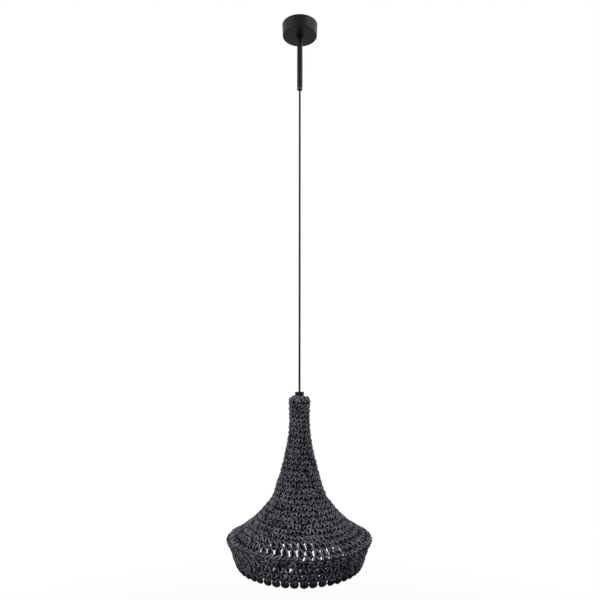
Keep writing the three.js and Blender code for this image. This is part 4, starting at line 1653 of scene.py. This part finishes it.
    def places(self) -> tuple[Array, Array, Array]:
        """Spreads the stitches along the spiral.

        The count of stitches up to an angle is the integral of radius over stitch width. Stitch i stands at
        the angle where the count is i + 1/2. Its foot goes between the two stitches of the round before that
        are nearest to a place a little ahead of it, so the legs slant.

        Returns:
            The angle of each stitch, the angle that it takes up, and the angle of its foot.
        """
        turns = self.outline.zone_rounds[-1]
        angle = np.arange(self.first_turn * TURN, (turns + self.last_turn) * TURN, self.angle_step)
        number = np.clip(angle / TURN, 0, turns)
        radius = self.outline.at(self.outline.of_round(number), self.count_depth)[:, 0]
        width = np.interp(radius, *np.array(self.widths).T)
        in_band = np.clip(number - self.outline.zone_rounds[4], 0, 1)
        width = width + (self.band_width - width) * in_band
        count = np.concatenate([[0], np.cumsum((radius / width)[1:] * np.diff(angle))])
        stitch = np.arange(int(count[-1]))
        centre = np.interp(stitch + 0.5, count, angle)
        spacing = np.interp(stitch + 1.0, count, angle) - np.interp(stitch, count, angle)
        slant = np.interp(centre / TURN, *np.array(self.slants).T)
        gap = np.round(np.interp(centre - TURN, angle, count) + slant)
        foot = np.interp(gap, count, angle) + TURN
        foot = np.where(centre - TURN < angle[0], centre, foot)
        return centre, spacing, foot + self.lean * (centre - foot)

    def worked(self, centre: Array, spacing: Array, foot: Array) -> tuple[Array, Array, Array, Array]:
        """Lays the stitch table at every stitch, drawn together in open rounds and made uneven.

        A point that is d rounds down lies at the angle foot + (centre - foot) (3 d^2 - 2 d^3) + across *
        spacing, so the legs lead from the foot's place over to the stitch's own. Each stitch strays a little.
        Waves move the points up, down, in and out over the whole cover, but not at its two ends.

        Args:
            centre: The angle of each stitch.
            spacing: The angle that it takes up.
            foot: The angle of its foot.

        Returns:
            Angle, step aside in millimetres, height in rounds and depth, one row for each stitch.
        """
        stitches = (len(centre), 1)
        table = np.array(self.stitch).T
        across, aside, down, depth = (np.repeat(column[None], stitches[0], 0) for column in table)
        rounds = (centre / TURN)[:, None]
        opened = self.opened(rounds)
        moved, drawn = np.array(self.drawn).T
        moved = moved.astype(int)
        across[:, moved] += opened * (drawn - across[:, moved])
        in_band = rounds > self.outline.zone_rounds[4] - self.calm_lead
        calm = 1 - self.calm * np.maximum(opened, in_band)
        chance = np.random.default_rng(self.seed)
        wider = 1 + chance.normal(0, self.width_stray, stitches) * calm
        across = across * np.where(across < self.stitch_reach, wider, 1)
        across = across + chance.normal(0, self.stray, stitches) * calm * (across < self.stitch_reach)
        aside = aside * (1 + chance.normal(0, self.aside_stray, stitches))
        down = down + chance.normal(0, self.stray, stitches) * calm * np.clip(down, 0, 1)
        depth = depth + chance.normal(0, self.depth_stray, stitches)
        share = np.clip(down, 0, 1)
        share = share * share * (3 - 2 * share)
        angle = foot[:, None] + (centre - foot)[:, None] * share + across * spacing[:, None]
        level = angle / TURN - 1 + down
        edge = np.clip(level, 0, 1) * np.clip(self.outline.zone_rounds[-1] - level, 0, 1)
        level = level + self.wave * edge * ripple(self.wave_terms, angle, level)
        depth = depth - self.puff * edge * ripple(self.puff_terms, angle, level) / len(self.puff_terms)
        return angle, aside, level, depth

    def path(self) -> tuple[Array, Array, Array, Array]:
        """Works out the rope's middle line, as the cubic spline of all control points.

        In the neck a point's depth past the rope's own radius shrinks towards the sleeve, and the first
        rounds rise out of the cover. Above the open rounds the line lies further out by the fullness, which
        leaves the depth that sets its painted shade as it is.

        Returns:
            The points, their depths, the direction outwards at each, and the round number of each stitch.
        """
        centre, spacing, foot = self.places()
        angle, aside, level, depth = self.worked(centre, spacing, foot)
        rounds = self.outline.zone_rounds
        along = self.outline.of_round(np.clip(level, 0, rounds[-1]))
        bare = self.outline.at(along, 0)
        angle = angle + aside / np.maximum(bare[..., 0], self.least_radius)
        room = bare[..., 0] - self.sleeve_room - self.rope
        squeeze = np.clip(room / self.squeeze_run, self.squeeze_least, 1)
        squeeze = np.where(level < rounds[1], self.shoulder_squeeze, squeeze)
        depth = depth - np.clip(depth - self.rope, 0, None) * (1 - squeeze)
        depth = np.maximum(depth, self.outermost) - self.lift * np.clip(1 - level / self.lift_rounds, 0, 1)
        first, last = self.full_rounds
        full = self.fullness * np.clip((last - level) / (last - first), 0, 1)
        points = self.carried(self.outline.at(along, depth - full), angle)
        outward = unit(self.carried(self.outline.at(along, -1) - bare, angle))
        return points, smoothed(depth.reshape(-1, 1))[:, 0], outward, centre / TURN

    def carried(self, flat: Array, angle: Array) -> Array:
        """Carries radius and height round: x = r cos a, y = r sin a, with a from where the spiral starts.

        Args:
            flat: Radius and height of each control point, or the parts of a direction.
            angle: Its angle.

        Returns:
            Smoothed rows of x, y and z.
        """
        place = angle + self.start * TURN
        rows = np.stack([flat[..., 0] * np.cos(place), flat[..., 0] * np.sin(place), flat[..., 1]], -1)
        return smoothed(rows.reshape(-1, 3))


@dataclass
class ScallopEdging(Assembly):
    """The last course: a closed rope that wraps the foot ring and hangs as one round scallop a stitch."""

    count: int = 46
    # Added to the share of depth that sets its painted shade; below zero the scallops are painted lighter
    shade: float = -0.05
    foot_radius: float = 166
    foot_height: float = -1478.5
    rope: float = 2.6
    sides: int = 6
    seed: int = 11
    up_stray: float = 0.3
    across_stray: float = 0.4
    # One scallop: across in millimetres, height over the band's foot, and depth
    scallop: tuple = (
        (-4.6, 2.6, 6.0), (-6.2, -1.6, 5.0), (-9.2, -7.2, 5.8), (-7.2, -12.4, 8.4), (0.0, -15.0, 10.2),
        (7.2, -12.4, 8.4), (9.2, -7.2, 5.8), (6.2, -1.6, 5.0), (4.6, 2.6, 6.0), (2.4, 4.2, 9.6),
        (0.0, 3.0, 13.6), (-0.6, -1.8, 16.2), (-1.6, -7.0, 13.6), (-3.0, -10.4, 10.0), (-4.6, -8.2, 5.4),
        (-3.6, -2.6, 2.6), (-2.4, 2.6, 3.0), (0.0, 4.4, 4.6), (2.4, 2.6, 3.0), (3.6, -2.6, 2.6),
        (4.6, -8.2, 4.6), (1.6, -11.4, 7.2), (-0.6, -7.4, 5.6), (0.8, -2.6, 7.4), (10.0, 1.5, 8.0),
    )

    def build(self) -> None:
        """Carries the rope round through all scallops, on a closed cubic spline with a point between two.

        At a control point the spline is (before + 4 point + after) / 6, and halfway to the next one it is
        (before + 23 point + 23 after + the one past that) / 48.
        """
        across, up, depth = (np.array(self.scallop)[:, i][None] for i in range(3))
        chance = np.random.default_rng(self.seed)
        up = up + chance.normal(0, self.up_stray, (self.count, 1))
        across = across + chance.normal(0, self.across_stray, (self.count, 1))
        angle = np.arange(self.count)[:, None] * TURN / self.count + across / self.foot_radius
        depth = depth + 0 * up
        radius, height = self.foot_radius - depth, self.foot_height + up
        points = np.stack([radius * np.cos(angle), radius * np.sin(angle), height, depth], -1).reshape(-1, 4)
        before, after, past = (np.roll(points, shift, 0) for shift in (1, -1, -2))
        at_points = (before + 4 * points + after) / 6
        between = (before + 23 * points + 23 * after + past) / 48
        line = np.stack([at_points, between], 1).reshape(-1, 4)
        path, depth = line[:, :3], line[:, 3]
        shell = tube(path, self.rope, self.sides, closed=True)
        outward = unit(path * [1, 1, 0])
        # The depth share, moved by shade, sets the edging's painted shade
        shell.depth = np.clip(buried(shell, path, depth, outward) + self.shade, 0, 1)
        piece = mesh_object("rope_edging", shell, None)
        self.keep(piece, ROPE, "shade", ("crochet_edging",), "rope")


@dataclass
class WireFrame(Assembly):
    """Welded wire frame inside the cover: four rings, four ribs, four struts and beads where they meet."""

    outline: Silhouette = field(default_factory=Silhouette)
    ring_wire: float = 2
    neck_wire: float = 1.3
    rib_wire: float = 1.5
    cover_wall: float = 9
    ring_gap: float = 0.3
    rib_gap: float = 0.8
    strut_gap: float = 0.5
    weld: tuple = (2.4, 2.4, 2.0)
    # How far the beads at the neck and the lip lie from the wires' own line, across and down
    weld_aside: float = 0.4
    weld_drop: float = 0.6
    # Radius and height
    neck_ring: tuple = (15.2, -1200.9)
    # Where the lip ring lies along the flare
    lip_share: float = 0.93
    count: int = 4
    first_turn: float = 45
    # Length over which a rib leaves the neck ring, and the share of it where it has moved out by its radius
    entry: float = 28
    entry_share: float = 0.3
    # Where a rib's other points lie, along the cone and along the flare down to the lip ring
    cone_shares: tuple = (0.36, 0.47, 0.6, 0.8, 1)
    flare_shares: tuple = (0.12, 0.25, 0.42, 0.6, 0.8, 1)
    # Points round the section of a ring, and round each of the four rings
    ring_sides: int = 12
    ring_turns: tuple = (48, 96, 144, 144)
    rib_sides: int = 10
    rib_steps: int = 8
    strut_steps: int = 10

    def build(self) -> None:
        """Makes the rings, then the ribs, struts and beads at each quarter."""
        at, zones = self.outline.at, self.outline.zone_ends
        cone, flare = zones[3] - zones[2], zones[4] - zones[3]
        waist_end = zones[3] - TINY
        ring_depth = self.cover_wall + self.ring_gap + self.ring_wire
        rib_depth = self.cover_wall + self.rib_gap + self.rib_wire
        waist = at(waist_end, rib_depth + self.rib_wire + self.ring_gap + self.ring_wire)
        lip = at(zones[3] + self.lip_share * flare, ring_depth)
        foot = np.array(self.outline.foot) - [ring_depth, self.ring_gap + self.ring_wire]
        rings = {"neck": self.neck_ring, "waist": waist, "lip": lip, "foot": foot}
        for (name, place), sides in zip(rings.items(), self.ring_turns):
            wire = self.neck_wire if name == "neck" else self.ring_wire
            section = quarter(tuple(place), wire, 0, 360, self.ring_sides)[:-1]
            piece = mesh_object(f"{name}_ring", lathe(section, sides), None)
            self.keep(piece, FRAME_WIRE, "shade", (f"frame_{name}_ring",))
        stop = self.lip_share - (self.ring_wire + 2 * self.ring_gap) / flare
        neck_radius, neck_height = self.neck_ring
        neck_foot = neck_height - self.neck_wire
        rib = np.concatenate([
            [[neck_radius, neck_foot - self.ring_gap]],
            [[neck_radius + self.rib_wire, neck_foot - self.entry * self.entry_share]],
            at(zones[2] + np.array(self.cone_shares) * cone - TINY, rib_depth),
            at(zones[3] + np.array(self.flare_shares) * stop * flare, rib_depth),
        ])
        inset = self.ring_wire + self.strut_gap + self.rib_wire
        bend = np.array(self.outline.band_top) - [rib_depth, 0]
        down = unit(foot - bend)
        inward = np.array([down[1], -down[0]])
        strut = np.array([lip - [inset, self.rib_wire], bend, foot + inset * inward])
        welds = np.stack([
            [neck_radius + self.weld_aside, neck_foot - self.weld_drop],
            (waist + at(waist_end, rib_depth)) / 2,
            lip - [self.ring_wire, self.weld_drop],
            foot + inset * inward / 2,
        ])
        beads = []
        for i in range(self.count):
            turn = math.radians(self.first_turn) + TURN * i / self.count
            beads += [bead(place, self.weld) for place in self.stood(welds, turn)]
            for name, line, steps in (("rib", rib, self.rib_steps), ("strut", strut, self.strut_steps)):
                path = self.stood(self.smooth(line, steps), turn)
                piece = mesh_object(f"{name}_{i + 1}", tube(path, self.rib_wire, self.rib_sides), TUBE_CREASE)
                self.keep(piece, FRAME_WIRE, "shade", (f"frame_{name}_{i + 1}",))
        self.keep(mesh_object("frame_welds", joined(beads), None), FRAME_WIRE, "shade", ())

    @staticmethod
    def stood(flat: Array, turn: float) -> Array:
        """Radius and height as x, y and z at one angle round the axis."""
        return np.stack([flat[:, 0] * math.cos(turn), flat[:, 0] * math.sin(turn), flat[:, 1]], -1)

    @staticmethod
    def smooth(line: Array, steps: int) -> Array:
        """A curve through points: the cubic whose slope at each is half the step between its neighbours.

        Args:
            line: The points, as radius and height.
            steps: Parts between two points.

        Returns:
            Points along the curve.
        """
        slope = np.gradient(line, axis=0)
        t = np.linspace(0, 1, steps, endpoint=False)[None, :, None]
        a, b, c, d = line[:-1, None], line[1:, None], slope[:-1, None], slope[1:, None]
        curve = (2 * t**3 - 3 * t**2 + 1) * a + (3 * t**2 - 2 * t**3) * b
        curve = curve + (t**3 - 2 * t**2 + t) * c + (t**3 - t**2) * d
        return np.concatenate([curve.reshape(-1, 2), line[-1:]])


def main() -> None:
    """Builds the studio and then the lamp from the ceiling down, and writes the two boxes."""
    logging.basicConfig(level=logging.INFO, format="%(name)s: %(message)s")
    assemblies = [
        Studio(),
        CableRun(),
        Canopy(),
        StemTube(),
        CeilingFixings(),
        CapAndHolder(),
        GlobeBulb(),
        WireFrame(),
        CrochetCover(),
        ScallopEdging(),
    ]
    for assembly in assemblies:
        assembly.build()
        assembly.report()
    bpy.context.view_layer.update()
    visual_box = [list(corner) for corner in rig.bounds()]
    with open(SIZE_FILE, "w") as file:
        json.dump({"cad": cad_box, "visual": visual_box}, file, indent=1)


if __name__ == "__main__":
    main()
